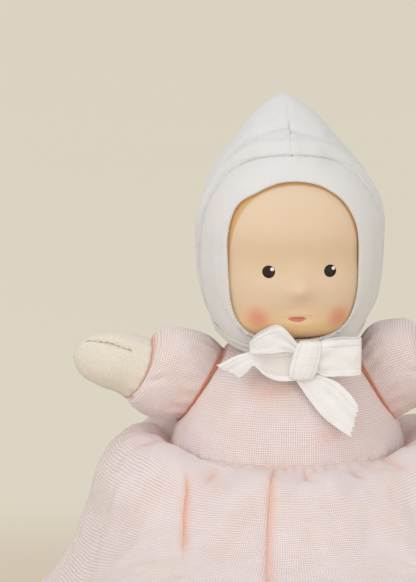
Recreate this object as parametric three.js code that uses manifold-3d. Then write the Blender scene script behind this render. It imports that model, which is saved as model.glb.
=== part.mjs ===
// Seated soft doll with a hollow rubber head, a tied bonnet and a gathered skirt.
// Millimetres, +Z up, the doll faces -Y and its own left side is +X. Z = 0 is the seat.
import * as THREE from 'three';
import { mergeVertices } from 'three/addons/utils/BufferGeometryUtils.js';
import Module from 'manifold-3d';

const wasm = await Module();
wasm.setup();

// Walls and gaps
const COVER_WALL = 1.2;
const RUBBER_WALL = 2.6;
const CLEARANCE = 0.3;
const SEAM_GAP = 0.4;

// Torso
const SEAT_WIDTH = 70;
const SEAT_DEPTH = 50;
const THIGH_HEIGHT = 14;
const THIGH_WIDTH = 92;
const THIGH_DEPTH = 76;
const HIP_HEIGHT = 38;
const HIP_WIDTH = 102;
const HIP_DEPTH = 91;
const WAIST_HEIGHT = 71;
const WAIST_WIDTH = 99;
const WAIST_DEPTH = 92;
const CHEST_DROP = 21;
const CHEST_WIDTH = 84;
const CHEST_DEPTH = 74;
const TORSO_HEIGHT = 117;
const TORSO_TOP_WIDTH = 46;
const TORSO_TOP_DEPTH = 40;

// Neck
const NECK_DIAMETER = 30;
const NECK_DEPTH = 20;
const NECK_TOP = 5;
const GROOVE_DIAMETER = 26;
const FLANGE_DIAMETER = 35;
const FLANGE_HEIGHT = 4;
const NECK_BORE = 20;
const CORD_DIAMETER = 2.2;

// Head
const HEAD_WIDTH = 74.5;
const HEAD_DEPTH = 73;
const HEAD_HEIGHT = 77;
const HEAD_FULLNESS = 2.3;
const HEAD_TURN = THREE.MathUtils.degToRad(6);
const JAW_HEIGHT = 54;
const CHIN_EDGE = 14;
const CHIN_GAP = 4;
const EYE_DIAMETER = 5.4;
const EYE_SPACING = 25.2;
const EYE_DROP = 8.3;
const MOUTH_WIDTH = 8.6;
const MOUTH_HEIGHT = 2.2;
const MOUTH_DROP = 28.5;
const FEATURE_SINK = 0.8;
const NOSE_WIDTH = 9.5;
const NOSE_HEIGHT = 7.5;
const NOSE_DEPTH = 7;
const NOSE_DROP = 17.2;

// Bonnet
const BONNET_EASE = 0.55;
const BONNET_WALL = 1.8;
const BONNET_TURN = THREE.MathUtils.degToRad(2);
const BONNET_PEAK = 21.7;
const PEAK_LEAN = THREE.MathUtils.degToRad(22);
const PEAK_SPREAD = THREE.MathUtils.degToRad(26);
const PEAK_REACH = THREE.MathUtils.degToRad(62);
const BONNET_SKIRT = 57;
const FACE_WIDTH = 58;
const FACE_HEIGHT = 66;
const FACE_RISE = -5.2;
const FACE_SQUARENESS = 2.7;
const BAND_WIDTH = 9.6;
const BAND_SINK = 0.5;
const BINDING_HEIGHT = 5.5;
const BINDING_SWELL = 0.6;
const BINDING_OPENING = 20;
const NAPE_RISE = 4;
const CHIN_DROP = 3.5;
const EDGE_FRONT = 0.42;
const EDGE_BACK = 0.1;

// Bow
const BOW_STANDOFF = 0.5;
const BOW_SIDE = 6;
const BOW_RISE = 2;
const KNOT_WIDTH = 10.4;
const KNOT_HEIGHT = 15;
const KNOT_DEPTH = 8;
const RIBBON_WALL = 1.1;
const LOOP_LENGTH = 18;
const LOOP_THICKNESS = 5.6;
const LOOP_WIDTH_LEFT = 15;
const LOOP_WIDTH_RIGHT = 11;
const LOOP_TILT_LEFT = THREE.MathUtils.degToRad(3);
const LOOP_TILT_RIGHT = THREE.MathUtils.degToRad(24);
const TAIL_LENGTH_LEFT = 27;
const TAIL_LENGTH_RIGHT = 30;
const TAIL_WIDTH = 13;
const TAIL_ROOT = 6.5;
const TAIL_TILT_LEFT = THREE.MathUtils.degToRad(-52);
const TAIL_TILT_RIGHT = THREE.MathUtils.degToRad(12);
const TAIL_STANDOFF = 4;

// Arms
const SHOULDER_DROP = 20;
const SHOULDER_TILT = THREE.MathUtils.degToRad(25);
const SHOULDER_SWING = THREE.MathUtils.degToRad(25);
const ARM_DROOP = 7;
const SLEEVE_RISE = 2.2;
const ARM_SEAM_HEIGHT = 31;
const ARM_SEAM_DEPTH = 5;
const SLEEVE_LENGTH = 22;
const SLEEVE_DIAMETER = 40;
const WRIST_DIAMETER = 27;
const HAND_LENGTH = 28;
const HAND_HEIGHT = 26;
const HAND_DEPTH = 23;
const THUMB_LINE = 1.2;
const THUMB_ANGLE = THREE.MathUtils.degToRad(47);

// Legs
const HIP_SPACING = 44;
const HIP_JOINT_HEIGHT = 12;
const LEG_SPLAY = THREE.MathUtils.degToRad(11);
const HIP_SWING = THREE.MathUtils.degToRad(70);
const LEG_SEAM_WIDTH = 28;
const LEG_SEAM_HEIGHT = 5;
const LEG_LENGTH = 94;
const LEG_DIAMETER = 34;
const ANKLE_DIAMETER = 26;
const FOOT_LENGTH = 32;
const FOOT_WIDTH = 29;
const FOOT_HEIGHT = 38;

// Skirt
const SKIRT_WALL = 1.2;
const SKIRT_PUFF = 6;
const SKIRT_WIDTH = 213;
const SKIRT_HEM = 1.6;
const SKIRT_SEAM = 0.6;
const LAP_REACH = 78;
const LAP_LIFT = 5;
const FOLD_DEPTH = 5;
const FOLD_WIDTH = THREE.MathUtils.degToRad(5.5);
const FOLD_ANGLES = [-170, -150, -130, -110, -90, -70, -45, -30, -10, 5, 20, 40, 60, 80, 100, 125, 145, 165];

// Finishes
const RUBBER = new THREE.MeshPhysicalMaterial({ color: 0xdcb58a, roughness: 0.62, name: 'natural_rubber' });
const JERSEY = new THREE.MeshPhysicalMaterial({ color: 0xe9e7e3, roughness: 0.92, name: 'white_jersey' });
const MUSLIN = new THREE.MeshPhysicalMaterial({ color: 0xe6cdc4, roughness: 0.93, name: 'pink_muslin' });
const VELOUR = new THREE.MeshPhysicalMaterial({ color: 0xe2d6c2, roughness: 0.95, name: 'cream_velour' });
const WOOL = new THREE.MeshPhysicalMaterial({ color: 0xefe9dc, roughness: 0.95, name: 'wool_stuffing' });

// Sharing of triangles
const TORSO_SIDES = 24;
const TORSO_RINGS = 11;
const LIMB_SIDES = 18;
const LIMB_RINGS = 18;
const RING_STEP = 0.25;
const SWING_STEPS = 6;
const SOLVE_STEPS = 24;
const THUMB_STEPS = 8;
const THUMB_SIDES = 6;
const THUMB_START = 0.5;
const THUMB_END = 0.82;
const SKIRT_COLUMNS = 72;
const SKIRT_ROWS = 7;
const FAR = 400;
const CRUMB = 0.5;

// Positions that follow from the sizes above
const CHEST_HEIGHT = TORSO_HEIGHT - CHEST_DROP;
const SHOULDER_HEIGHT = TORSO_HEIGHT - SHOULDER_DROP;
const SKIRT_FLARE = (SKIRT_WIDTH - WAIST_WIDTH) / 2;
const CHIN_Z = TORSO_HEIGHT + CHIN_GAP;
const HEAD_Z = CHIN_Z + HEAD_HEIGHT / 2;
const EYE_Z = -EYE_DROP;
const MOUTH_Z = -MOUTH_DROP;
const NOSE_Z = -NOSE_DROP;
const ARM_LENGTH = SLEEVE_LENGTH + HAND_LENGTH;
const BOW_FORWARD = CHEST_DEPTH / 2 + BOW_STANDOFF;
const KNOT_Z = CHIN_Z - KNOT_HEIGHT / 2 + BOW_RISE;

// Solid from points and triangles, with its faces turned outward
function solidFromTriangles(points, triangles) {
  let volume = 0;
  for (let i = 0; i < triangles.length; i += 3) {
    const [a, b, c] = [points[triangles[i]], points[triangles[i + 1]], points[triangles[i + 2]]];
    volume += a.dot(new THREE.Vector3().crossVectors(b, c));
  }
  const wound = [...triangles];
  if (volume < 0) {
    for (let i = 0; i < wound.length; i += 3) {
      [wound[i + 1], wound[i + 2]] = [wound[i + 2], wound[i + 1]];
    }
  }
  return new wasm.Manifold(new wasm.Mesh({
    numProp: 3,
    vertProperties: Float32Array.from(points.flatMap((p) => [p.x, p.y, p.z])),
    triVerts: Uint32Array.from(wound),
  }));
}

// Solid from a closed three.js geometry
function solidFromGeometry(geometry) {
  const bare = geometry.clone();
  bare.deleteAttribute('normal');
  bare.deleteAttribute('uv');
  const merged = mergeVertices(bare, 1e-4);
  const place = merged.getAttribute('position');
  const points = [];
  for (let i = 0; i < place.count; i++) {
    points.push(new THREE.Vector3().fromBufferAttribute(place, i));
  }
  const triangles = [];
  const index = merged.index.array;
  for (let i = 0; i < index.length; i += 3) {
    const [a, b, c] = [index[i], index[i + 1], index[i + 2]];
    if (a !== b && b !== c && a !== c) {
      triangles.push(a, b, c);
    }
  }
  return solidFromTriangles(points, triangles);
}

// Named mesh of a solid, without the crumbs that cutting can leave
function piece(name, solid, material) {
  const bodies = solid.decompose().filter((body) => body.volume() > CRUMB);
  const source = (bodies.length === 1 ? bodies[0] : solid).getMesh();
  const geometry = new THREE.BufferGeometry();
  const place = new Float32Array(source.numVert * 3);
  for (let i = 0; i < source.numVert; i++) {
    for (let k = 0; k < 3; k++) {
      place[3 * i + k] = source.vertProperties[source.numProp * i + k];
    }
  }
  geometry.setAttribute('position', new THREE.BufferAttribute(place, 3));
  geometry.setIndex(new THREE.BufferAttribute(source.triVerts.slice(), 1));
  geometry.computeVertexNormals();
  const mesh = new THREE.Mesh(geometry, material);
  mesh.name = name;
  return mesh;
}

// Closed skin over a stack of rings with a fan at each end
function loft(rings) {
  const count = rings[0].length;
  const points = rings.flat();
  const triangles = [];
  const at = (row, column) => row * count + (column % count);
  for (let row = 0; row + 1 < rings.length; row++) {
    for (let column = 0; column < count; column++) {
      triangles.push(at(row, column), at(row, column + 1), at(row + 1, column + 1));
      triangles.push(at(row, column), at(row + 1, column + 1), at(row + 1, column));
    }
  }
  for (const [row, turned] of [[0, true], [rings.length - 1, false]]) {
    const middle = new THREE.Vector3();
    rings[row].forEach((p) => middle.addScaledVector(p, 1 / count));
    const hub = points.push(middle) - 1;
    for (let column = 0; column < count; column++) {
      const [a, b] = [at(row, column), at(row, column + 1)];
      triangles.push(hub, turned ? b : a, turned ? a : b);
    }
  }
  return solidFromTriangles(points, triangles);
}

// Box given by its limits, open sides reaching far out
function block({ x = [-FAR, FAR], y = [-FAR, FAR], z = [-FAR, FAR] }) {
  const box = new THREE.BoxGeometry(x[1] - x[0], y[1] - y[0], z[1] - z[0]);
  box.translate((x[0] + x[1]) / 2, (y[0] + y[1]) / 2, (z[0] + z[1]) / 2);
  return solidFromGeometry(box);
}

// Half width and half depth of the torso at a height
const TORSO_STATIONS = new THREE.CatmullRomCurve3([
  new THREE.Vector3(SEAT_WIDTH / 2, SEAT_DEPTH / 2, 0),
  new THREE.Vector3(THIGH_WIDTH / 2, THIGH_DEPTH / 2, THIGH_HEIGHT),
  new THREE.Vector3(HIP_WIDTH / 2, HIP_DEPTH / 2, HIP_HEIGHT),
  new THREE.Vector3(WAIST_WIDTH / 2, WAIST_DEPTH / 2, WAIST_HEIGHT),
  new THREE.Vector3(CHEST_WIDTH / 2, CHEST_DEPTH / 2, CHEST_HEIGHT),
  new THREE.Vector3(TORSO_TOP_WIDTH / 2, TORSO_TOP_DEPTH / 2, TORSO_HEIGHT),
]).getPoints(200);

function torsoAt(height) {
  const above = TORSO_STATIONS.findIndex((p) => p.z >= height);
  if (above < 1) {
    return TORSO_STATIONS[above === 0 ? 0 : TORSO_STATIONS.length - 1];
  }
  const [low, high] = [TORSO_STATIONS[above - 1], TORSO_STATIONS[above]];
  return low.clone().lerp(high, (height - low.z) / (high.z - low.z));
}

// Body form, grown or shrunk all round, moved into a local frame when one is given
function torso(grow, frame = new THREE.Matrix4()) {
  const rings = [];
  for (let row = 0; row <= TORSO_RINGS; row++) {
    const share = row / TORSO_RINGS;
    const eased = share < 0.5 ? 2 * share * share * 0.5 + share * 0.5 : share;
    const height = TORSO_HEIGHT * eased;
    const size = torsoAt(height);
    const lifted = row === 0 ? -grow : row === TORSO_RINGS ? TORSO_HEIGHT + grow : height;
    const ring = [];
    for (let side = 0; side < TORSO_SIDES; side++) {
      const turn = (2 * Math.PI * side) / TORSO_SIDES;
      const point = new THREE.Vector3((size.x + grow) * Math.cos(turn), (size.y + grow) * Math.sin(turn), lifted);
      ring.push(point.applyMatrix4(frame));
    }
    rings.push(ring);
  }
  return loft(rings);
}

// Body form in a limb's own frame, at every swing of the limb about its seam
function sweptTorso(grow, inward, { axis, from, to }) {
  let swept = null;
  for (let step = 0; step <= SWING_STEPS; step++) {
    const swing = THREE.MathUtils.lerp(from, to, step / SWING_STEPS);
    const turn = new THREE.Matrix4().makeRotationAxis(axis, -swing);
    const form = torso(grow, turn.multiply(inward));
    swept = swept ? swept.add(form) : form;
  }
  return swept;
}

// Size and place of a limb at a share of its stations
function limbAt(stations, share) {
  const form = new THREE.CatmullRomCurve3(stations.map((s) => new THREE.Vector3(s.depth, s.height, s.lift)));
  const track = new THREE.CatmullRomCurve3(stations.map((s) => new THREE.Vector3(s.along, 0, 0)));
  const size = form.getPoint(share);
  return { along: track.getPoint(share).x, depth: size.x, height: size.y, lift: size.z };
}

// Stuffed limb along +X from stations of distance, half depth, half height and lift
function limb(stations, grow) {
  const reach = stations[stations.length - 1].along;
  const rings = [];
  for (let row = 0; row <= LIMB_RINGS; row++) {
    const size = limbAt(stations, row / LIMB_RINGS);
    const first = -Math.min(grow, 0) + row * RING_STEP;
    const last = reach + grow - (LIMB_RINGS - row) * RING_STEP;
    const along = row === 0 ? first : row === LIMB_RINGS ? last : THREE.MathUtils.clamp(size.along, first, last);
    const ring = [];
    for (let side = 0; side < LIMB_SIDES; side++) {
      const turn = (2 * Math.PI * side) / LIMB_SIDES;
      const depth = Math.max(size.depth + grow, 0.4) * Math.cos(turn);
      const height = Math.max(size.height + grow, 0.4) * Math.sin(turn);
      ring.push(new THREE.Vector3(along, depth, size.lift + height));
    }
    rings.push(ring);
  }
  return loft(rings);
}

// Cutter for the stitched thumb line of a hand, on the front upper side of the limb
function thumbLine(stations, front) {
  const rings = [];
  for (let row = 0; row <= THUMB_STEPS; row++) {
    const size = limbAt(stations, THREE.MathUtils.lerp(THUMB_START, THUMB_END, row / THUMB_STEPS));
    const ring = [];
    for (let side = 0; side < THUMB_SIDES; side++) {
      const turn = (2 * Math.PI * side) / THUMB_SIDES;
      const depth = front * size.depth * Math.cos(THUMB_ANGLE) + (THUMB_LINE / 2) * Math.cos(turn);
      const height = size.lift + size.height * Math.sin(THUMB_ANGLE) + (THUMB_LINE / 2) * Math.sin(turn);
      ring.push(new THREE.Vector3(size.along, depth, height));
    }
    rings.push(ring);
  }
  return loft(rings);
}

// Height of the arm's middle line: the hand droops and the sleeve's head rides up
function lean(along) {
  return SLEEVE_RISE * Math.max(1 - along / SLEEVE_LENGTH, 0) - ARM_DROOP * (along / ARM_LENGTH);
}

const ARM_STATIONS = [
  { along: 0, depth: ARM_SEAM_DEPTH / 2, height: ARM_SEAM_HEIGHT / 2 },
  { along: SLEEVE_LENGTH * 0.25, depth: SLEEVE_DIAMETER * 0.36, height: SLEEVE_DIAMETER * 0.48 },
  { along: SLEEVE_LENGTH * 0.55, depth: SLEEVE_DIAMETER / 2, height: SLEEVE_DIAMETER / 2 },
  { along: SLEEVE_LENGTH, depth: WRIST_DIAMETER / 2, height: WRIST_DIAMETER / 2 },
  { along: SLEEVE_LENGTH + HAND_LENGTH * 0.3, depth: HAND_DEPTH / 2, height: HAND_HEIGHT / 2 },
  { along: SLEEVE_LENGTH + HAND_LENGTH * 0.68, depth: HAND_DEPTH * 0.46, height: HAND_HEIGHT * 0.44 },
  { along: SLEEVE_LENGTH + HAND_LENGTH * 0.93, depth: HAND_DEPTH * 0.28, height: HAND_HEIGHT * 0.27 },
  { along: ARM_LENGTH, depth: HAND_DEPTH * 0.09, height: HAND_HEIGHT * 0.09 },
].map((s) => ({ ...s, lift: lean(s.along) }));

const onFloor = (height) => height - HIP_JOINT_HEIGHT;

const LEG_STATIONS = [
  { along: 0, depth: LEG_SEAM_WIDTH / 2, height: LEG_SEAM_HEIGHT / 2, lift: 0 },
  { along: LEG_LENGTH * 0.14, depth: LEG_DIAMETER * 0.48, height: LEG_DIAMETER * 0.34, lift: 2 },
  { along: LEG_LENGTH * 0.34, depth: LEG_DIAMETER / 2, height: LEG_DIAMETER / 2 },
  { along: LEG_LENGTH * 0.72, depth: LEG_DIAMETER * 0.47, height: LEG_DIAMETER * 0.46 },
  { along: LEG_LENGTH, depth: ANKLE_DIAMETER / 2, height: ANKLE_DIAMETER / 2 },
  { along: LEG_LENGTH + FOOT_LENGTH * 0.4, depth: FOOT_WIDTH / 2, height: FOOT_HEIGHT * 0.44 },
  { along: LEG_LENGTH + FOOT_LENGTH * 0.78, depth: FOOT_WIDTH * 0.46, height: FOOT_HEIGHT * 0.46 },
  { along: LEG_LENGTH + FOOT_LENGTH, depth: FOOT_WIDTH * 0.2, height: FOOT_HEIGHT * 0.22 },
].map((s) => ({ lift: onFloor(s.along > LEG_LENGTH ? FOOT_HEIGHT / 2 : s.height), ...s }));

// Cover, end piece and stuffing of one limb, with the body cut away from it
function stuffedLimb({ names, stations, seam, body, endFinish, stitch = null }) {
  const skin = limb(stations, 0).subtract(limb(stations, -COVER_WALL));
  const near = block({ x: [-FAR, seam - SEAM_GAP / 2] });
  const far = block({ x: [seam + SEAM_GAP / 2, FAR] });
  return [
    piece(names.cover, skin.intersect(near).subtract(body(CLEARANCE)), MUSLIN),
    piece(names.end, stitch ? skin.intersect(far).subtract(stitch) : skin.intersect(far), endFinish),
    piece(names.stuffing, limb(stations, -COVER_WALL - CLEARANCE).subtract(body(CLEARANCE + COVER_WALL)), WOOL),
  ];
}

// Arm group, side is +1 for the doll's left
function arm(side) {
  const name = side > 0 ? 'left' : 'right';
  const group = new THREE.Group();
  group.position.set(side * (torsoAt(SHOULDER_HEIGHT).x + CLEARANCE), 0, SHOULDER_HEIGHT);
  group.rotation.order = 'ZYX';
  group.rotation.set(0, -SHOULDER_TILT, side > 0 ? 0 : Math.PI);
  group.updateMatrixWorld(true);
  const inward = group.matrixWorld.clone().invert();
  group.add(...stuffedLimb({
    names: { cover: `sleeve_${name}`, end: `hand_${name}`, stuffing: `arm_stuffing_${name}` },
    stations: ARM_STATIONS,
    seam: SLEEVE_LENGTH,
    body: (grow) => sweptTorso(grow, inward, {
      axis: new THREE.Vector3(0, 0, 1), from: -SHOULDER_SWING, to: SHOULDER_SWING,
    }),
    stitch: thumbLine(ARM_STATIONS, -side),
    endFinish: VELOUR,
  }));
  return group;
}

// Leg group lying forward on the floor
function leg(side) {
  const name = side > 0 ? 'left' : 'right';
  const group = new THREE.Group();
  const across = HIP_SPACING / 2;
  const size = torsoAt(HIP_JOINT_HEIGHT);
  const front = size.y * Math.sqrt(1 - (across / size.x) ** 2);
  group.position.set(side * across, -front - CLEARANCE, HIP_JOINT_HEIGHT);
  group.rotation.z = -Math.PI / 2 + side * LEG_SPLAY;
  group.updateMatrixWorld(true);
  const inward = group.matrixWorld.clone().invert();
  group.add(...stuffedLimb({
    names: { cover: `leg_cover_${name}`, end: `foot_${name}`, stuffing: `leg_stuffing_${name}` },
    stations: LEG_STATIONS,
    seam: LEG_LENGTH,
    body: (grow) => sweptTorso(grow, inward, { axis: new THREE.Vector3(0, 1, 0), from: 0, to: HIP_SWING }),
    endFinish: VELOUR,
  }));
  return group;
}

// Turned solid about the neck axis from radius and height pairs
function turned(profile, sides = 28) {
  const outline = profile.map(([radius, height]) => new THREE.Vector2(radius, height));
  const lathe = new THREE.LatheGeometry(outline, sides);
  lathe.rotateX(Math.PI / 2);
  return solidFromGeometry(lathe);
}

// Cloth body, its stuffing and the neck cord
function body() {
  const group = new THREE.Group();
  const skin = torso(0).subtract(torso(-COVER_WALL));
  const neckHole = turned([
    [0, TORSO_HEIGHT - NECK_DEPTH], [GROOVE_DIAMETER / 2 + CLEARANCE, TORSO_HEIGHT - NECK_DEPTH],
    [GROOVE_DIAMETER / 2 + CLEARANCE, TORSO_HEIGHT + NECK_TOP], [0, TORSO_HEIGHT + NECK_TOP],
  ]);
  const upper = skin.intersect(block({ z: [WAIST_HEIGHT + SEAM_GAP / 2, FAR] })).subtract(neckHole);
  const lower = skin.intersect(block({ z: [-FAR, WAIST_HEIGHT - SEAM_GAP / 2] }));
  const flangeTop = TORSO_HEIGHT - COVER_WALL - CLEARANCE;
  const pocketRadius = FLANGE_DIAMETER / 2 + CLEARANCE;
  const pocket = turned([
    [0, flangeTop - FLANGE_HEIGHT - CLEARANCE], [pocketRadius, flangeTop - FLANGE_HEIGHT - CLEARANCE],
    [pocketRadius, TORSO_HEIGHT + NECK_TOP], [0, TORSO_HEIGHT + NECK_TOP],
  ]);
  const cord = new THREE.TorusGeometry(NECK_DIAMETER / 2 + CLEARANCE + CORD_DIAMETER / 2, CORD_DIAMETER / 2, 6, 24);
  cord.translate(0, 0, TORSO_HEIGHT + CLEARANCE + CORD_DIAMETER / 2);
  group.add(
    piece('bodice_front', upper.intersect(block({ y: [-FAR, -SEAM_GAP / 2] })), MUSLIN),
    piece('bodice_back', upper.intersect(block({ y: [SEAM_GAP / 2, FAR] })), MUSLIN),
    piece('seat_cover', lower, MUSLIN),
    piece('torso_stuffing', torso(-COVER_WALL - CLEARANCE).subtract(pocket), WOOL),
    piece('neck_cord', solidFromGeometry(cord), JERSEY),
  );
  return group;
}

// Distance to a full, squarish egg along a unit direction
function eggRadius(d, halfWidth, halfDepth, halfUp, halfDown) {
  const halfHeight = d.z > 0 ? halfUp : halfDown;
  const sum = Math.abs(d.x / halfWidth) ** HEAD_FULLNESS + Math.abs(d.y / halfDepth) ** HEAD_FULLNESS
    + Math.abs(d.z / halfHeight) ** HEAD_FULLNESS;
  return sum ** (-1 / HEAD_FULLNESS);
}

// Head form: an egg with a full jaw, rounded off under the chin
function headRadius(d) {
  const egg = eggRadius(d, HEAD_WIDTH / 2, HEAD_DEPTH / 2, HEAD_HEIGHT / 2, JAW_HEIGHT);
  if (d.z >= 0) return egg;
  const chin = -HEAD_HEIGHT / 2 / d.z;
  return (egg ** -CHIN_EDGE + chin ** -CHIN_EDGE) ** (-1 / CHIN_EDGE);
}

// Closed skin around the head centre from a radius by direction, poles along the given direction
function blob(pole, radiusAt, columns, rows) {
  const sphere = new THREE.SphereGeometry(1, columns, rows);
  const turn = new THREE.Quaternion().setFromUnitVectors(new THREE.Vector3(0, 1, 0), pole);
  sphere.applyQuaternion(turn);
  const place = sphere.getAttribute('position');
  const d = new THREE.Vector3();
  for (let i = 0; i < place.count; i++) {
    d.fromBufferAttribute(place, i).normalize();
    d.multiplyScalar(radiusAt(d.clone()));
    place.setXYZ(i, d.x, d.y, d.z);
  }
  return solidFromGeometry(sphere);
}

const FRONT = new THREE.Vector3(0, -1, 0);

// Depth of the face surface at a place across and up from the head centre
function faceDepth(x, z) {
  const halfHeight = z > 0 ? HEAD_HEIGHT / 2 : JAW_HEIGHT;
  const left = 1 - Math.abs(x / (HEAD_WIDTH / 2)) ** HEAD_FULLNESS - Math.abs(z / halfHeight) ** HEAD_FULLNESS;
  return (HEAD_DEPTH / 2) * Math.max(left, 0) ** (1 / HEAD_FULLNESS);
}

// Rubber head: hollow shell, nose, sunk eyes and mouth, grooved neck
function rubberHead() {
  const neckTop = -HEAD_HEIGHT / 2 + 8;
  const clothTop = TORSO_HEIGHT - HEAD_Z;
  const grooveTop = clothTop + CLEARANCE;
  const flangeTop = clothTop - COVER_WALL - CLEARANCE;
  const neck = turned([
    [0, flangeTop - FLANGE_HEIGHT], [FLANGE_DIAMETER / 2, flangeTop - FLANGE_HEIGHT], [FLANGE_DIAMETER / 2, flangeTop],
    [GROOVE_DIAMETER / 2, flangeTop], [GROOVE_DIAMETER / 2, grooveTop], [NECK_DIAMETER / 2, grooveTop],
    [NECK_DIAMETER / 2, neckTop], [0, neckTop],
  ]);
  const bore = turned([
    [0, flangeTop - FLANGE_HEIGHT - 1], [NECK_BORE / 2, flangeTop - FLANGE_HEIGHT - 1],
    [NECK_BORE / 2, neckTop + 2], [0, neckTop + 2],
  ]);
  const nose = new THREE.SphereGeometry(1, 14, 9);
  nose.scale(NOSE_WIDTH / 2, NOSE_DEPTH / 2, NOSE_HEIGHT / 2);
  nose.translate(0, -faceDepth(0, NOSE_Z) - 0.6, NOSE_Z);
  const outer = blob(FRONT, headRadius, 36, 20);
  const inner = blob(FRONT, (d) => headRadius(d) - RUBBER_WALL, 20, 12);
  let shell = outer.add(neck).add(solidFromGeometry(nose)).subtract(inner).subtract(bore);
  const sunkFace = blob(FRONT, (d) => headRadius(d) - FEATURE_SINK, 36, 20);
  for (const side of [-1, 1]) {
    const eye = new THREE.CylinderGeometry(EYE_DIAMETER / 2, EYE_DIAMETER / 2, HEAD_DEPTH, 16);
    eye.translate(side * EYE_SPACING / 2, -HEAD_DEPTH / 2, EYE_Z);
    shell = shell.subtract(solidFromGeometry(eye).subtract(sunkFace));
  }
  const mouth = new THREE.CylinderGeometry(1, 1, HEAD_DEPTH, 16);
  mouth.scale(MOUTH_WIDTH / 2, 1, MOUTH_HEIGHT / 2);
  mouth.translate(0, -HEAD_DEPTH / 2, MOUTH_Z);
  shell = shell.subtract(solidFromGeometry(mouth).subtract(sunkFace));
  return piece('head_shell', shell, RUBBER);
}

const PEAK = new THREE.Vector3(0, Math.sin(PEAK_LEAN), Math.cos(PEAK_LEAN));

// Outside of the bonnet by direction: an eased head form with a pointed peak
function bonnetRadius(d) {
  const out = BONNET_EASE + BONNET_WALL;
  const base = eggRadius(d, HEAD_WIDTH / 2 + out, HEAD_DEPTH / 2 + out, HEAD_HEIGHT / 2 + out, BONNET_SKIRT);
  const away = Math.acos(THREE.MathUtils.clamp(d.dot(PEAK), -1, 1));
  const fade = Math.exp(-PEAK_REACH / PEAK_SPREAD);
  const rise = Math.max(Math.exp(-away / PEAK_SPREAD) - fade, 0) / (1 - fade);
  return base + BONNET_PEAK * rise;
}

const bonnetForm = (grow, columns, rows) => blob(PEAK, (d) => bonnetRadius(d) + grow, columns, rows);

// Prism through the face, a squared oval grown by a margin
function faceOval(margin) {
  const oval = new THREE.CylinderGeometry(1, 1, FAR, 36);
  const place = oval.getAttribute('position');
  const squared = (share) => Math.sign(share) * Math.abs(share) ** (2 / FACE_SQUARENESS);
  for (let i = 0; i < place.count; i++) {
    const across = squared(place.getX(i)) * (FACE_WIDTH / 2 + margin);
    const up = squared(place.getZ(i)) * (FACE_HEIGHT / 2 + margin);
    place.setXYZ(i, across, place.getY(i), up);
  }
  oval.translate(0, -FAR / 2, FACE_RISE);
  return solidFromGeometry(oval);
}

// Height of the bonnet's lower edge, which drops towards the chin
function edgeHeight(y) {
  const forward = THREE.MathUtils.inverseLerp(-HEAD_DEPTH * EDGE_BACK, -HEAD_DEPTH * EDGE_FRONT, y);
  return CHIN_Z - HEAD_Z - 1 - THREE.MathUtils.clamp(forward, 0, 1) * (CHIN_DROP + NAPE_RISE);
}

// Depth of the bonnet's outside in front of the head centre, at a place across and up
function bonnetDepth(x, z) {
  let near = 0;
  let far = HEAD_DEPTH;
  for (let step = 0; step < SOLVE_STEPS; step++) {
    const middle = (near + far) / 2;
    const place = new THREE.Vector3(x, -middle, z);
    const within = place.length() < bonnetRadius(place.clone().normalize());
    near = within ? middle : near;
    far = within ? far : middle;
  }
  return near;
}

// Middle of the binding's outside at a place across
function bindingMiddle(x) {
  const place = new THREE.Vector3(x, -HEAD_DEPTH / 2, 0);
  for (let step = 0; step < SOLVE_STEPS; step++) {
    place.z = edgeHeight(place.y) + BINDING_HEIGHT / 2;
    place.y = -bonnetDepth(x, place.z);
  }
  return place;
}

// Everything above the lower edge of the bonnet, the edge raised by a margin
function aboveEdge(margin) {
  const front = edgeHeight(-FAR) + margin;
  const nape = edgeHeight(FAR) + margin;
  const side = new THREE.Shape();
  side.moveTo(-FAR, front);
  side.lineTo(-HEAD_DEPTH * EDGE_FRONT, front);
  side.lineTo(-HEAD_DEPTH * EDGE_BACK, nape);
  side.lineTo(FAR, nape);
  side.lineTo(FAR, FAR);
  side.lineTo(-FAR, FAR);
  const prism = new THREE.ExtrudeGeometry(side, { depth: 2 * FAR, bevelEnabled: false });
  prism.translate(0, 0, -FAR);
  prism.applyMatrix4(new THREE.Matrix4().makeBasis(
    new THREE.Vector3(0, 1, 0), new THREE.Vector3(0, 0, 1), new THREE.Vector3(1, 0, 0)));
  return solidFromGeometry(prism);
}

// Bonnet panels, band and binding
function bonnet() {
  const outside = bonnetForm(0, 36, 20);
  const inside = bonnetForm(-BONNET_WALL, 36, 20);
  const aboveBinding = aboveEdge(BINDING_HEIGHT + SEAM_GAP);
  const crown = outside.subtract(inside).subtract(faceOval(BAND_WIDTH)).intersect(aboveBinding);
  const bandSkin = bonnetForm(-BAND_SINK, 36, 20).subtract(inside);
  const frontHalf = block({ y: [-FAR, -CLEARANCE] });
  const band = bandSkin.intersect(faceOval(BAND_WIDTH - SEAM_GAP)).intersect(frontHalf).subtract(faceOval(0))
    .intersect(aboveBinding);
  const swell = bonnetForm(BINDING_SWELL, 36, 20).subtract(inside);
  const half = BINDING_OPENING / 2;
  const gap = block({ x: [-half, half], y: [-FAR, 0], z: [-FAR, FACE_RISE] });
  const binding = swell.intersect(aboveEdge(0)).subtract(aboveEdge(BINDING_HEIGHT)).subtract(gap);
  return [
    piece('bonnet_panel_left', crown.intersect(block({ x: [SEAM_GAP / 2, FAR] })), JERSEY),
    piece('bonnet_panel_right', crown.intersect(block({ x: [-FAR, -SEAM_GAP / 2] })), JERSEY),
    piece('bonnet_band', band.subtract(gap), JERSEY),
    piece('bonnet_binding', binding, JERSEY),
  ];
}

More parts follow.
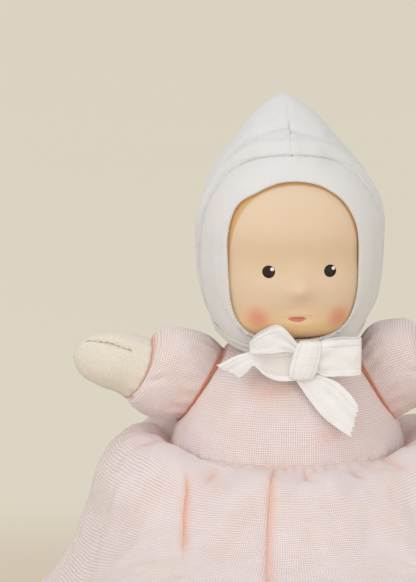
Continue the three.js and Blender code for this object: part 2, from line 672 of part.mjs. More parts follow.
// Outline of a ribbon loop seen along its width, drawn in by a wall
function loopOutline(PathType, wall) {
  const radius = LOOP_THICKNESS / 2 - wall;
  const outline = new PathType();
  const root = Math.max(RIBBON_WALL * 1.35 - wall, 0.3);
  const start = wall * 1.5;
  const end = LOOP_LENGTH - LOOP_THICKNESS / 2;
  outline.moveTo(start, -root);
  outline.lineTo(end, -radius);
  outline.absarc(end, 0, radius, -Math.PI / 2, Math.PI / 2, false);
  outline.lineTo(start, root);
  outline.lineTo(start, -root);
  return outline;
}

// Ribbon loop standing out to +X from the knot
function ribbonLoop(width) {
  const shape = loopOutline(THREE.Shape, 0);
  shape.holes.push(loopOutline(THREE.Path, RIBBON_WALL));
  const loop = new THREE.ExtrudeGeometry(shape, { depth: width, bevelEnabled: false, curveSegments: 8 });
  loop.translate(0, 0, -width / 2);
  return loop;
}

// Flat ribbon tail along +X with a slanted end
function ribbonTail(length) {
  const shape = new THREE.Shape();
  shape.moveTo(0, -TAIL_ROOT / 2);
  shape.lineTo(length * 0.45, -TAIL_WIDTH / 2);
  shape.lineTo(length, -TAIL_WIDTH * 0.3);
  shape.lineTo(length * 0.78, TAIL_WIDTH / 2);
  shape.lineTo(length * 0.4, TAIL_WIDTH * 0.46);
  shape.lineTo(0, TAIL_ROOT / 2);
  const tail = new THREE.ExtrudeGeometry(shape, { depth: RIBBON_WALL, bevelEnabled: false });
  tail.translate(0, 0, -RIBBON_WALL / 2);
  tail.rotateX(Math.PI / 2);
  return tail;
}

// Mesh placed around the knot: side turns it about Z, tilt lifts it, lean brings its low end forward
function bowPiece(name, geometry, { side, tilt, lean = 0, offset }) {
  const placed = geometry.clone();
  placed.rotateY(-tilt);
  if (side < 0) placed.rotateZ(Math.PI);
  placed.rotateX(-lean);
  placed.translate(offset.x, offset.y, offset.z);
  return piece(name, solidFromGeometry(placed).subtract(knotForm(CLEARANCE)), JERSEY);
}

// Knot of the bow, grown all round
function knotForm(grow) {
  const knot = new THREE.SphereGeometry(1, 14, 9);
  knot.scale(KNOT_WIDTH / 2 + grow, KNOT_DEPTH / 2 + grow, KNOT_HEIGHT / 2 + grow);
  return solidFromGeometry(knot);
}

// Bow at the throat with the two ties that lead to it
function bow() {
  const group = new THREE.Group();
  group.position.set(BOW_SIDE, -BOW_FORWARD, KNOT_Z - HEAD_Z);
  const out = KNOT_WIDTH * 0.36;
  const under = KNOT_HEIGHT * 0.4;
  const behind = (LOOP_THICKNESS + RIBBON_WALL) / 2 + CLEARANCE;
  const drop = -TAIL_LENGTH_LEFT * Math.sin(TAIL_TILT_LEFT) + TAIL_WIDTH / 2;
  const tailEnd = torsoAt(KNOT_Z - under - drop).y + TAIL_STANDOFF;
  const tailLean = Math.atan2(Math.max(tailEnd - BOW_FORWARD, 0), drop);
  group.add(
    piece('bow_knot', knotForm(0), JERSEY),
    bowPiece('bow_loop_left', ribbonLoop(LOOP_WIDTH_LEFT),
      { side: 1, tilt: LOOP_TILT_LEFT, offset: new THREE.Vector3(out, 0, 1) }),
    bowPiece('bow_loop_right', ribbonLoop(LOOP_WIDTH_RIGHT),
      { side: -1, tilt: LOOP_TILT_RIGHT, offset: new THREE.Vector3(-out, 0, 4) }),
    bowPiece('bow_tail_left', ribbonTail(TAIL_LENGTH_LEFT),
      { side: 1, tilt: TAIL_TILT_LEFT, lean: tailLean, offset: new THREE.Vector3(1, behind, -under) }),
    bowPiece('bow_tail_right', ribbonTail(TAIL_LENGTH_RIGHT),
      { side: -1, tilt: -TAIL_TILT_RIGHT, offset: new THREE.Vector3(-1, behind, -under * 0.4) }),
  );
  for (const side of [-1, 1]) {
    const name = side > 0 ? 'bonnet_tie_left' : 'bonnet_tie_right';
    const start = bindingMiddle(side * (BINDING_OPENING / 2 - CLEARANCE - RIBBON_WALL / 2)).sub(group.position);
    const end = new THREE.Vector3(side * 1.2, KNOT_DEPTH / 2 + CLEARANCE + RIBBON_WALL, 1);
    const tie = ribbonBetween(start, end, BINDING_HEIGHT * 0.8).subtract(knotForm(CLEARANCE));
    group.add(piece(name, tie, JERSEY));
  }
  return group;
}

// Short flat ribbon between two points, its width standing up
function ribbonBetween(start, end, width) {
  const along = end.clone().sub(start);
  const length = along.length();
  const strip = new THREE.BoxGeometry(length, RIBBON_WALL, width);
  const middle = start.clone().add(end).multiplyScalar(0.5);
  const turn = new THREE.Quaternion().setFromUnitVectors(new THREE.Vector3(1, 0, 0), along.normalize());
  strip.applyQuaternion(turn);
  strip.translate(middle.x, middle.y, middle.z);
  return solidFromGeometry(strip);
}

// Head group: the face is turned a little further than the bonnet
function head() {
  const group = new THREE.Group();
  group.position.z = HEAD_Z;
  const shell = rubberHead();
  shell.rotation.z = HEAD_TURN;
  const worn = new THREE.Group();
  worn.rotation.z = BONNET_TURN;
  worn.add(...bonnet(), bow());
  group.add(shell, worn);
  return group;
}

// Skirt profile at the sides and back, as shares of its flare and of the waist's height
const SIDE_PROFILE = new THREE.SplineCurve([
  new THREE.Vector2(SKIRT_SEAM, WAIST_HEIGHT - 1),
  new THREE.Vector2(SKIRT_FLARE * 0.14, WAIST_HEIGHT + SKIRT_PUFF * 0.8),
  new THREE.Vector2(SKIRT_FLARE * 0.3, WAIST_HEIGHT + SKIRT_PUFF * 0.7),
  new THREE.Vector2(SKIRT_FLARE * 0.51, WAIST_HEIGHT * 0.86),
  new THREE.Vector2(SKIRT_FLARE * 0.61, WAIST_HEIGHT * 0.65),
  new THREE.Vector2(SKIRT_FLARE * 0.72, WAIST_HEIGHT * 0.39),
  new THREE.Vector2(SKIRT_FLARE * 0.87, WAIST_HEIGHT * 0.155),
  new THREE.Vector2(SKIRT_FLARE, SKIRT_HEM),
]);

// Skirt profile over the lap, from the waist down onto the legs
const LAP_Z = LEG_DIAMETER + LAP_LIFT;
const lapDrop = (share) => THREE.MathUtils.lerp(WAIST_HEIGHT, LAP_Z, share);
const LAP_PROFILE = new THREE.SplineCurve([
  new THREE.Vector2(SKIRT_SEAM, lapDrop(0.03)),
  new THREE.Vector2(LAP_REACH * 0.08, lapDrop(-0.05)),
  new THREE.Vector2(LAP_REACH * 0.18, lapDrop(0.09)),
  new THREE.Vector2(LAP_REACH * 0.32, lapDrop(0.44)),
  new THREE.Vector2(LAP_REACH * 0.49, lapDrop(0.75)),
  new THREE.Vector2(LAP_REACH * 0.69, lapDrop(0.94)),
  new THREE.Vector2(LAP_REACH * 0.86, lapDrop(1)),
  new THREE.Vector2(LAP_REACH, lapDrop(1.06)),
]);

const LAP_NEAR = THREE.MathUtils.degToRad(30);
const LAP_FAR = THREE.MathUtils.degToRad(66);

// Gathers: rounded lobes between narrow creases, strongest below the waist seam
function gather(angle, share) {
  let nearest = Math.PI;
  for (const degrees of FOLD_ANGLES) {
    const apart = angle - THREE.MathUtils.degToRad(degrees);
    nearest = Math.min(nearest, Math.abs(Math.atan2(Math.sin(apart), Math.cos(apart))));
  }
  const crease = Math.exp(-nearest / FOLD_WIDTH);
  const rise = THREE.MathUtils.smoothstep(share, 0, 0.22);
  const settle = 1 - 0.6 * THREE.MathUtils.smoothstep(share, 0.35, 1);
  return -FOLD_DEPTH * crease * rise * settle;
}

// Point of the skirt at an angle from the front and a share of its length, lifted off its face
function skirtPoint(angle, share, lift) {
  const lap = 1 - THREE.MathUtils.smoothstep(Math.abs(angle), LAP_NEAR, LAP_FAR);
  const place = SIDE_PROFILE.getPoint(share).lerp(LAP_PROFILE.getPoint(share), lap);
  const slope = SIDE_PROFILE.getTangent(share).lerp(LAP_PROFILE.getTangent(share), lap).normalize();
  const raise = lift + gather(angle, share);
  const waist = torsoAt(WAIST_HEIGHT);
  const [sine, cosine] = [Math.sin(angle), Math.cos(angle)];
  const run = place.x - slope.y * raise;
  return new THREE.Vector3((waist.x + run) * sine, -(waist.y + run) * cosine, place.y + slope.x * raise);
}

// Gathered skirt: an outer and an inner face joined at the waist and the hem
function skirt() {
  const points = [];
  const triangles = [];
  const at = (layer, row, column) => (layer * (SKIRT_ROWS + 1) + row) * SKIRT_COLUMNS + (column % SKIRT_COLUMNS);
  for (const lift of [SKIRT_WALL / 2, -SKIRT_WALL / 2]) {
    for (let row = 0; row <= SKIRT_ROWS; row++) {
      for (let column = 0; column < SKIRT_COLUMNS; column++) {
        const angle = (2 * Math.PI * column) / SKIRT_COLUMNS - Math.PI;
        points.push(skirtPoint(angle, row / SKIRT_ROWS, lift));
      }
    }
  }
  const quad = (a, b, c, d) => triangles.push(a, b, c, a, c, d);
  for (let column = 0; column < SKIRT_COLUMNS; column++) {
    for (let row = 0; row < SKIRT_ROWS; row++) {
      quad(at(0, row, column), at(0, row, column + 1), at(0, row + 1, column + 1), at(0, row + 1, column));
      quad(at(1, row, column), at(1, row + 1, column), at(1, row + 1, column + 1), at(1, row, column + 1));
    }
    quad(at(0, 0, column), at(1, 0, column), at(1, 0, column + 1), at(0, 0, column + 1));
    const hem = SKIRT_ROWS;
    quad(at(0, hem, column), at(0, hem, column + 1), at(1, hem, column + 1), at(1, hem, column));
  }
  return piece('skirt', solidFromTriangles(points, triangles), MUSLIN);
}

const doll = new THREE.Group();
doll.add(body(), skirt(), head(), arm(1), arm(-1), leg(1), leg(-1));

export default doll;
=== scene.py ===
"""Seated soft doll with a rubber head: the looks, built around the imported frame.

Sizes are in millimetres in the frame's axes and become metres where a mesh is placed.
The doll faces -Y and its own left hand is on +X.
"""

import logging
import math
from dataclasses import dataclass, field
from enum import Enum
from typing import Callable, Sequence

import bpy
from mathutils import Euler, Matrix, Vector, noise

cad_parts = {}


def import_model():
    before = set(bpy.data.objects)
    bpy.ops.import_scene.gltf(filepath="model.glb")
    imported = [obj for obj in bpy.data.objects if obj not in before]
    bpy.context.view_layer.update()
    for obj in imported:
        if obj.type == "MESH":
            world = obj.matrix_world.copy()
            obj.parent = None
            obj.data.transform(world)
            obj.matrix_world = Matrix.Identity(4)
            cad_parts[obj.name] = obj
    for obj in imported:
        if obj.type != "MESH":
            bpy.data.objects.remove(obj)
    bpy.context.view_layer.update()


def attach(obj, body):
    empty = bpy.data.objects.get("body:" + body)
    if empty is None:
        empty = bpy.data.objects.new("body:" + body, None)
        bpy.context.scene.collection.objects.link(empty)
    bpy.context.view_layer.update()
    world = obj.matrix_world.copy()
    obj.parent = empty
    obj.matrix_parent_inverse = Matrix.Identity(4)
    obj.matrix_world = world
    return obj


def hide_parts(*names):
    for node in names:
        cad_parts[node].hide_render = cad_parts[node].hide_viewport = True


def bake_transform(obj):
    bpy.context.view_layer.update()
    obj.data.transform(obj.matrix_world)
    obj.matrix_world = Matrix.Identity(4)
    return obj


LOG = logging.getLogger("doll")
MM = 0.001
UV_UNIT = 10.0
MERGE_DISTANCE = 1e-6
SMOOTH_ANGLE = math.radians(55.0)
SOLVE_STEPS = 22
SKIRT_ROWS = (0.0, 0.03, 0.143, 0.286, 0.429, 0.571, 0.714, 0.857, 1.0)
Place = Callable[[float, float], Vector]
Weight = Callable[[float, float], float]
Colour = tuple[float, float, float, float]
Piece = bpy.types.Object
Material = bpy.types.Material
Socket = bpy.types.NodeSocket


class Side(Enum):
    """The doll's own side, with the sign of its X axis."""

    LEFT = 1
    RIGHT = -1

    @property
    def word(self) -> str:
        """Lower-case name used in piece and body names."""
        return self.name.lower()


def smoothstep(value: float, low: float, high: float) -> float:
    """Rise smoothly from 0 at low to 1 at high."""
    share = min(max((value - low) / (high - low), 0.0), 1.0)
    return share * share * (3.0 - 2.0 * share)


def bell(value: float, middle: float, width: float) -> float:
    """Bell curve of height 1 around middle."""
    return math.exp(-(((value - middle) / width) ** 2))


def ripple(place: Vector, scale: float, seed: float) -> float:
    """Smooth noise between about -1 and 1 over a distance of scale millimetres."""
    return noise.noise(place / scale + Vector((seed, -seed, 2.0 * seed)))


def solve(test: Callable[[float], float], low: float, high: float) -> float:
    """Find where a rising test crosses zero.

    Args:
        test: function that is negative at low and positive at high.
        low: lower bound.
        high: upper bound.

    Returns:
        The crossing, or high where the test stays negative.
    """
    if test(high) < 0.0:
        return high
    for _ in range(SOLVE_STEPS):
        middle = 0.5 * (low + high)
        if test(middle) < 0.0:
            low = middle
        else:
            high = middle
    return 0.5 * (low + high)


@dataclass(frozen=True)
class Track:
    """Smooth curve of values through knots.

    Args:
        knots: rising positions.
        values: one value, or tuple of values, per knot.
    """

    knots: Sequence[float]
    values: Sequence[Sequence[float]]

    def at(self, position: float) -> tuple[float, ...]:
        """Values at a position, held at the ends."""
        knots = self.knots
        position = min(max(position, knots[0]), knots[-1])
        last = len(knots) - 2
        step = max(i for i in range(last + 1) if knots[i] <= position)
        span = knots[step + 1] - knots[step]
        t = (position - knots[step]) / span
        result = []
        for channel in range(len(self.values[0])):
            start = self.values[step][channel]
            end = self.values[step + 1][channel]
            slope_in = self._slope(step, channel) * span
            slope_out = self._slope(step + 1, channel) * span
            result.append(
                (2 * t**3 - 3 * t**2 + 1) * start
                + (t**3 - 2 * t**2 + t) * slope_in
                + (-2 * t**3 + 3 * t**2) * end
                + (t**3 - t**2) * slope_out
            )
        return tuple(result)

    def _slope(self, knot: int, channel: int) -> float:
        """Slope of one channel at a knot."""
        low = max(knot - 1, 0)
        high = min(knot + 1, len(self.knots) - 1)
        rise = self.values[high][channel] - self.values[low][channel]
        return rise / (self.knots[high] - self.knots[low])


class Sampled:
    """Function kept as even samples and read between them in straight lines.

    Args:
        function: function to sample.
        low: first position.
        high: last position.
        count: number of steps.
    """

    def __init__(self, function: Callable[[float], float], low: float, high: float, count: int) -> None:
        """Take the samples."""
        self.low = low
        self.step = (high - low) / count
        self.values = [function(low + self.step * i) for i in range(count + 1)]

    def __call__(self, position: float) -> float:
        """Value at a position, held at the ends."""
        place = min(max((position - self.low) / self.step, 0.0), len(self.values) - 1.001)
        left = int(place)
        return self.values[left] + (self.values[left + 1] - self.values[left]) * (place - left)


def deselect() -> None:
    """Leave edit mode and deselect everything, so that an operator meets only the new piece."""
    if bpy.context.mode != "OBJECT":
        bpy.ops.object.mode_set(mode="OBJECT")
    bpy.ops.object.select_all(action="DESELECT")


def pick(piece: Piece) -> None:
    """Select one object and make it active."""
    deselect()
    piece.select_set(True)
    bpy.context.view_layer.objects.active = piece


def clean(piece: Piece) -> None:
    """Merge doubled points and turn the faces outward."""
    pick(piece)
    bpy.ops.object.mode_set(mode="EDIT")
    bpy.ops.mesh.select_all(action="SELECT")
    bpy.ops.mesh.remove_doubles(threshold=MERGE_DISTANCE)
    bpy.ops.mesh.normals_make_consistent(inside=False)
    bpy.ops.object.mode_set(mode="OBJECT")


def mapped_grid(
    name: str,
    cells: tuple[int, int],
    place: Place,
    cloth: tuple[float, float] = (100.0, 100.0),
    fold: Weight | None = None,
    drape: Callable[[float, float], tuple[float, float]] | None = None,
) -> Piece:
    """Shape a grid primitive into a smooth surface, closed at seams and poles.

    Args:
        name: piece name.
        cells: number of cells across and along.
        place: position in millimetres for shares across and along.
        cloth: width and length in millimetres that the UV map stands for.
        fold: strength of the painted crease shade from 0 to 1 by share, kept as the attribute "fold".
        drape: shares of the cloth's width and length by shares of the grid, where they differ.

    Returns:
        The new object, at the origin, with its place in its mesh.
    """
    deselect()
    name = f"{name}_skin"
    bpy.ops.mesh.primitive_grid_add(x_subdivisions=cells[0], y_subdivisions=cells[1], size=2.0)
    piece = bpy.context.object
    piece.name = name
    piece.data.name = name
    mesh = piece.data
    shares = [((v.co.x + 1.0) / 2.0, (v.co.y + 1.0) / 2.0) for v in mesh.vertices]
    flat = [drape(u, v) for u, v in shares] if drape else shares
    for loop in mesh.loops:
        u, v = flat[loop.vertex_index]
        mesh.uv_layers[0].data[loop.index].uv = (u * cloth[0] / UV_UNIT, v * cloth[1] / UV_UNIT)
    crease = mesh.attributes.new("fold", "FLOAT", "POINT")
    for vertex, (u, v) in zip(mesh.vertices, shares):
        vertex.co = place(u, v) * MM
        crease.data[vertex.index].value = fold(u, v) if fold else 0.0
    clean(piece)
    pick(piece)
    bpy.ops.object.shade_smooth()
    return piece


def thicken(piece: Piece, wall: float, outward: float = -1.0) -> None:
    """Give a sheet its thickness with a solidify modifier.

    Args:
        piece: open sheet.
        wall: thickness in millimetres.
        outward: -1 puts the wall inside the surface, 1 outside.
    """
    pick(piece)
    wall_modifier = piece.modifiers.new("wall", "SOLIDIFY")
    wall_modifier.thickness = wall * MM
    wall_modifier.offset = outward
    wall_modifier.use_even_offset = False
    bpy.ops.object.modifier_apply(modifier=wall_modifier.name)
    bpy.ops.object.shade_smooth_by_angle(angle=SMOOTH_ANGLE)


def dress(piece: Piece, material: Material) -> None:
    """Give a piece one material."""
    piece.data.materials.clear()
    piece.data.materials.append(material)


def settle(piece: Piece, material: Material, body: str, slot: str, *nodes: str) -> None:
    """Dress a piece, let it ride on a body and hide the CAD nodes that it stands for.

    Args:
        piece: the piece.
        material: its finish.
        body: body that carries it.
        slot: material slot of the record; not used.
        *nodes: CAD nodes that it replaces.
    """
    dress(piece, material)
    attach(piece, body)
    if nodes:
        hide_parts(*nodes)


class Nodes:
    """Short way to add and link shader nodes in one tree.

    Args:
        tree: node tree of a material or a group.
    """

    def __init__(self, tree: bpy.types.NodeTree) -> None:
        """Keep the tree."""
        self.tree = tree

    def add(self, kind: str, settings: dict | None = None, **inputs: object) -> bpy.types.Node:
        """Add a node, set its options and link or set its inputs.

        Args:
            kind: node type.
            settings: node properties by name.
            **inputs: socket values or sockets, with underscores for spaces.

        Returns:
            The node.
        """
        node = self.tree.nodes.new(kind)
        for key, value in (settings or {}).items():
            setattr(node, key, value)
        for key, value in inputs.items():
            self.feed(node, key.replace("_", " "), value)
        return node

    def feed(self, node: bpy.types.Node, key: str | int, value: object) -> None:
        """Link a socket, or set a value, on a node's input."""
        socket = node.inputs[key]
        if isinstance(value, Socket):
            self.tree.links.new(value, socket)
        else:
            socket.default_value = value

    def math(self, operation: str, first: object, second: object = 0.0) -> Socket:
        """Add a math node and return its value."""
        node = self.tree.nodes.new("ShaderNodeMath")
        node.operation = operation
        self.feed(node, 0, first)
        self.feed(node, 1, second)
        return node.outputs[0]

    def line(self, value: object, slope: float, start: float) -> Socket:
        """Scale a value and add to it."""
        return self.math("ADD", self.math("MULTIPLY", value, slope), start)

    def ramp(self, value: Socket, low: object, high: object, top: float) -> Socket:
        """Smooth rise from 0 where the value is low to top where it is high."""
        node = self.add("ShaderNodeMapRange", {"interpolation_type": "SMOOTHERSTEP"}, Value=value)
        self.feed(node, "From Min", low)
        self.feed(node, "From Max", high)
        self.feed(node, "To Max", top)
        return node.outputs["Result"]

    def blend(self, share: object, first: object, second: object) -> Socket:
        """Mix two colours by a share and return the colour."""
        node = self.tree.nodes.new("ShaderNodeMix")
        node.data_type = "RGBA"
        self.feed(node, 0, share)
        self.feed(node, 6, first)
        self.feed(node, 7, second)
        return node.outputs[2]


def colour(red: float, green: float, blue: float) -> Colour:
    """Opaque linear colour."""
    return (red, green, blue, 1.0)


class ClothGroups:
    """Shader node groups shared by the cloth and rubber finishes."""

    def __init__(self) -> None:
        """Build the groups."""
        self.weave = self._weave()
        self.mottle = self._mottle()

    def _new(self, name: str, inputs: dict[str, tuple[str, float]], outputs: list[str]) -> bpy.types.NodeTree:
        """Make an empty group with named sockets."""
        group = bpy.data.node_groups.new(name, "ShaderNodeTree")
        for key, (kind, value) in inputs.items():
            socket = group.interface.new_socket(key, in_out="INPUT", socket_type=kind)
            if kind == "NodeSocketFloat":
                socket.default_value = value
        for key in outputs:
            group.interface.new_socket(key, in_out="OUTPUT", socket_type="NodeSocketFloat")
        return group

    def _weave(self) -> bpy.types.NodeTree:
        """Plain weave: crossing rows of thread with small gaps, stronger in some places."""
        group = self._new(
            "cloth_weave",
            {
                "Vector": ("NodeSocketVector", 0.0),
                "Warp": ("NodeSocketFloat", 11.5),
                "Weft": ("NodeSocketFloat", 9.7),
                "Uneven": ("NodeSocketFloat", 0.16),
            },
            ["Height", "Gap", "Slub"],
        )
        n = Nodes(group)
        source = n.add("NodeGroupInput")
        sink = n.add("NodeGroupOutput")
        drift = n.add("ShaderNodeTexNoise", Vector=source.outputs["Vector"], Scale=0.9, Detail=2.0)
        wobble = n.add("ShaderNodeVectorMath", {"operation": "SCALE"}, Vector=drift.outputs["Color"])
        n.tree.links.new(source.outputs["Uneven"], wobble.inputs["Scale"])
        moved = n.add("ShaderNodeVectorMath", {"operation": "ADD"})
        n.feed(moved, 0, source.outputs["Vector"])
        n.feed(moved, 1, wobble.outputs[0])
        axes = n.add("ShaderNodeSeparateXYZ", Vector=moved.outputs[0])
        warp = self._thread(n, axes.outputs["X"], source.outputs["Warp"])
        weft = self._thread(n, axes.outputs["Y"], source.outputs["Weft"])
        columns = n.math("SUBTRACT", 1.0, warp)
        rows = n.math("SUBTRACT", 1.0, weft)
        lines = n.math("ADD", n.math("MULTIPLY", rows, 0.35), n.math("MULTIPLY", columns, 0.35))
        holes = n.math("MULTIPLY", n.math("MULTIPLY", rows, columns), 0.75)
        patch = n.add("ShaderNodeTexNoise", Vector=source.outputs["Vector"], Scale=0.55, Detail=2.0)
        strength = n.line(patch.outputs["Fac"], 1.4, 0.3)
        slub = n.add("ShaderNodeTexNoise", Vector=source.outputs["Vector"], Scale=5.0, Detail=3.0)
        n.feed(sink, "Height", n.math("MAXIMUM", warp, weft))
        n.feed(sink, "Gap", n.math("MULTIPLY", n.math("ADD", lines, holes), strength))
        n.feed(sink, "Slub", slub.outputs["Fac"])
        return group

    @staticmethod
    def _thread(n: Nodes, axis: Socket, threads: Socket) -> Socket:
        """Rounded rows of thread across one axis, 0 in the gap and 1 on the thread."""
        turn = n.math("MULTIPLY", n.math("MULTIPLY", axis, threads), math.pi)
        return n.math("ABSOLUTE", n.math("SINE", turn))

    def _mottle(self) -> bpy.types.NodeTree:
        """Soft cloudy variation and fine nap on object coordinates."""
        group = self._new(
            "soft_mottle",
            {
                "Vector": ("NodeSocketVector", 0.0),
                "Cloud Scale": ("NodeSocketFloat", 60.0),
                "Nap Scale": ("NodeSocketFloat", 1500.0),
            },
            ["Cloud", "Nap"],
        )
        n = Nodes(group)
        source = n.add("NodeGroupInput")
        sink = n.add("NodeGroupOutput")
        cloud = n.add("ShaderNodeTexNoise", Vector=source.outputs["Vector"], Detail=3.0)
        n.tree.links.new(source.outputs["Cloud Scale"], cloud.inputs["Scale"])
        nap = n.add("ShaderNodeTexNoise", Vector=source.outputs["Vector"], Detail=4.0, Roughness=0.7)
        n.tree.links.new(source.outputs["Nap Scale"], nap.inputs["Scale"])
        n.feed(sink, "Cloud", cloud.outputs["Fac"])
        n.feed(sink, "Nap", nap.outputs["Fac"])
        return group


class Blank:
    """New material, ready for its nodes.

    Args:
        name: material name.
    """

    def __init__(self, name: str) -> None:
        """Make the material with its shader and texture coordinates."""
        self.material = bpy.data.materials.new(name)
        self.material.use_nodes = True
        self.n = Nodes(self.material.node_tree)
        self.shader = self.material.node_tree.nodes["Principled BSDF"]
        self.coords = self.n.add("ShaderNodeTexCoord").outputs

    def mottle(self, groups: ClothGroups, **scales: float) -> bpy.types.NodeOutputs:
        """Place the shared mottle on object coordinates and return its outputs."""
        node = self.n.add("ShaderNodeGroup", {"node_tree": groups.mottle}, **scales)
        self.n.feed(node, "Vector", self.coords["Object"])
        return node.outputs

    def fold(self) -> Socket:
        """Strength of the painted crease shade kept on the mesh."""
        return self.n.add("ShaderNodeAttribute", {"attribute_name": "fold"}).outputs["Fac"]

    def finish(self, base: Socket, height: Socket, bump: tuple[float, float], **inputs: object) -> Material:
        """Feed the shader.

        Args:
            base: base colour.
            height: height of the relief.
            bump: strength of the relief and its depth in millimetres.
            **inputs: other inputs of the shader, with underscores for spaces.

        Returns:
            The material.
        """
        strength, depth = bump
        relief = self.n.add("ShaderNodeBump", Strength=strength, Distance=depth * MM, Height=height)
        self.n.feed(self.shader, "Base Color", base)
        self.n.feed(self.shader, "Normal", relief.outputs["Normal"])
        for key, value in inputs.items():
            self.n.feed(self.shader, key.replace("_", " "), value)
        return self.material


@dataclass(frozen=True)
class ClothFinish:
    """Woven or knitted cloth.

    Args:
        name: material name.
        thread: colour of the thread.
        patch: colour of its cloudy patches.
        gap: colour seen between threads.
        crease: colour of the painted shade in a fold.
        deep: colour of the painted shade at the bottom of a deep fold, where the fold attribute passes 1.
        count: threads per ten millimetres across and along.
        gap_share: how strongly the gaps show.
        relief: depth of the weave in millimetres.
        through: weight of the light that passes through the cloth.
        fuzz: weight of the sheen from loose fibres.
    """

    name: str
    thread: Colour
    patch: Colour
    gap: Colour
    crease: Colour
    deep: Colour
    count: tuple[float, float]
    gap_share: float
    relief: float
    through: float = 0.0
    fuzz: float = 0.15

    def build(self, groups: ClothGroups) -> Material:
        """Make the material from the shared node groups."""
        blank = Blank(self.name)
        n = blank.n
        weave = n.add("ShaderNodeGroup", {"node_tree": groups.weave}, Warp=self.count[0], Weft=self.count[1])
        n.feed(weave, "Vector", blank.coords["UV"])
        fold = blank.fold()
        cloud = n.math("MULTIPLY", n.math("SUBTRACT", blank.mottle(groups)["Cloud"], 0.38), 3.2)
        base = n.blend(cloud, self.thread, self.patch)
        base = n.blend(n.math("MULTIPLY", weave.outputs["Gap"], self.gap_share), base, self.gap)
        # Painted shade in folds and seams, by the mesh's fold attribute
        base = n.blend(fold, base, self.crease)
        base = n.blend(n.math("SUBTRACT", fold, 1.0), base, self.deep)
        height = n.math("ADD", weave.outputs["Height"], n.math("MULTIPLY", weave.outputs["Slub"], 0.6))
        return blank.finish(
            base, height, (0.55, self.relief), Roughness=n.line(weave.outputs["Slub"], 0.12, 0.84),
            Specular_IOR_Level=0.2, Sheen_Weight=self.fuzz, Sheen_Roughness=0.5,
            Subsurface_Weight=self.through, Subsurface_Radius=(1.0, 0.55, 0.45), Subsurface_Scale=1.5 * MM,
        )


@dataclass(frozen=True)
class NapFinish:
    """Short pile cloth such as velour."""

    name: str
    tip: Colour
    root: Colour
    crease: Colour

    def build(self, groups: ClothGroups) -> Material:
        """Make the material from the shared node groups."""
        blank = Blank(self.name)
        n = blank.n
        mottle = blank.mottle(groups, Nap_Scale=1300.0, Cloud_Scale=90.0)
        nap = mottle["Nap"]
        grain = n.line(n.math("SUBTRACT", nap, 0.5), 2.2, 0.5)
        base = n.blend(grain, self.root, self.tip)
        cloud = n.math("MULTIPLY", n.math("SUBTRACT", mottle["Cloud"], 0.35), 0.5)
        base = n.blend(cloud, base, self.root)
        # Painted shade in the velour's seams and thumb groove, by the fold attribute
        base = n.blend(blank.fold(), base, self.crease)
        return blank.finish(
            base, nap, (0.6, 0.5), Roughness=n.line(nap, 0.1, 0.85), Specular_IOR_Level=0.2,
            Sheen_Weight=0.35, Sheen_Roughness=0.45,
        )


@dataclass(frozen=True)
class Opening:
    """Face opening of the bonnet, a squared oval.

    Args:
        middle: its middle in the frame, in millimetres.
        turn: its turn about the upright axis.
        half: half width and half height.
        square: exponent of the oval above and below its middle.
    """

    middle: Vector = field(default_factory=lambda: Vector((0.0, 0.0, 154.3)))
    turn: float = math.radians(2.0)
    half: tuple[float, float] = (27.4, 33.0)
    square: tuple[float, float] = (2.45, 3.2)


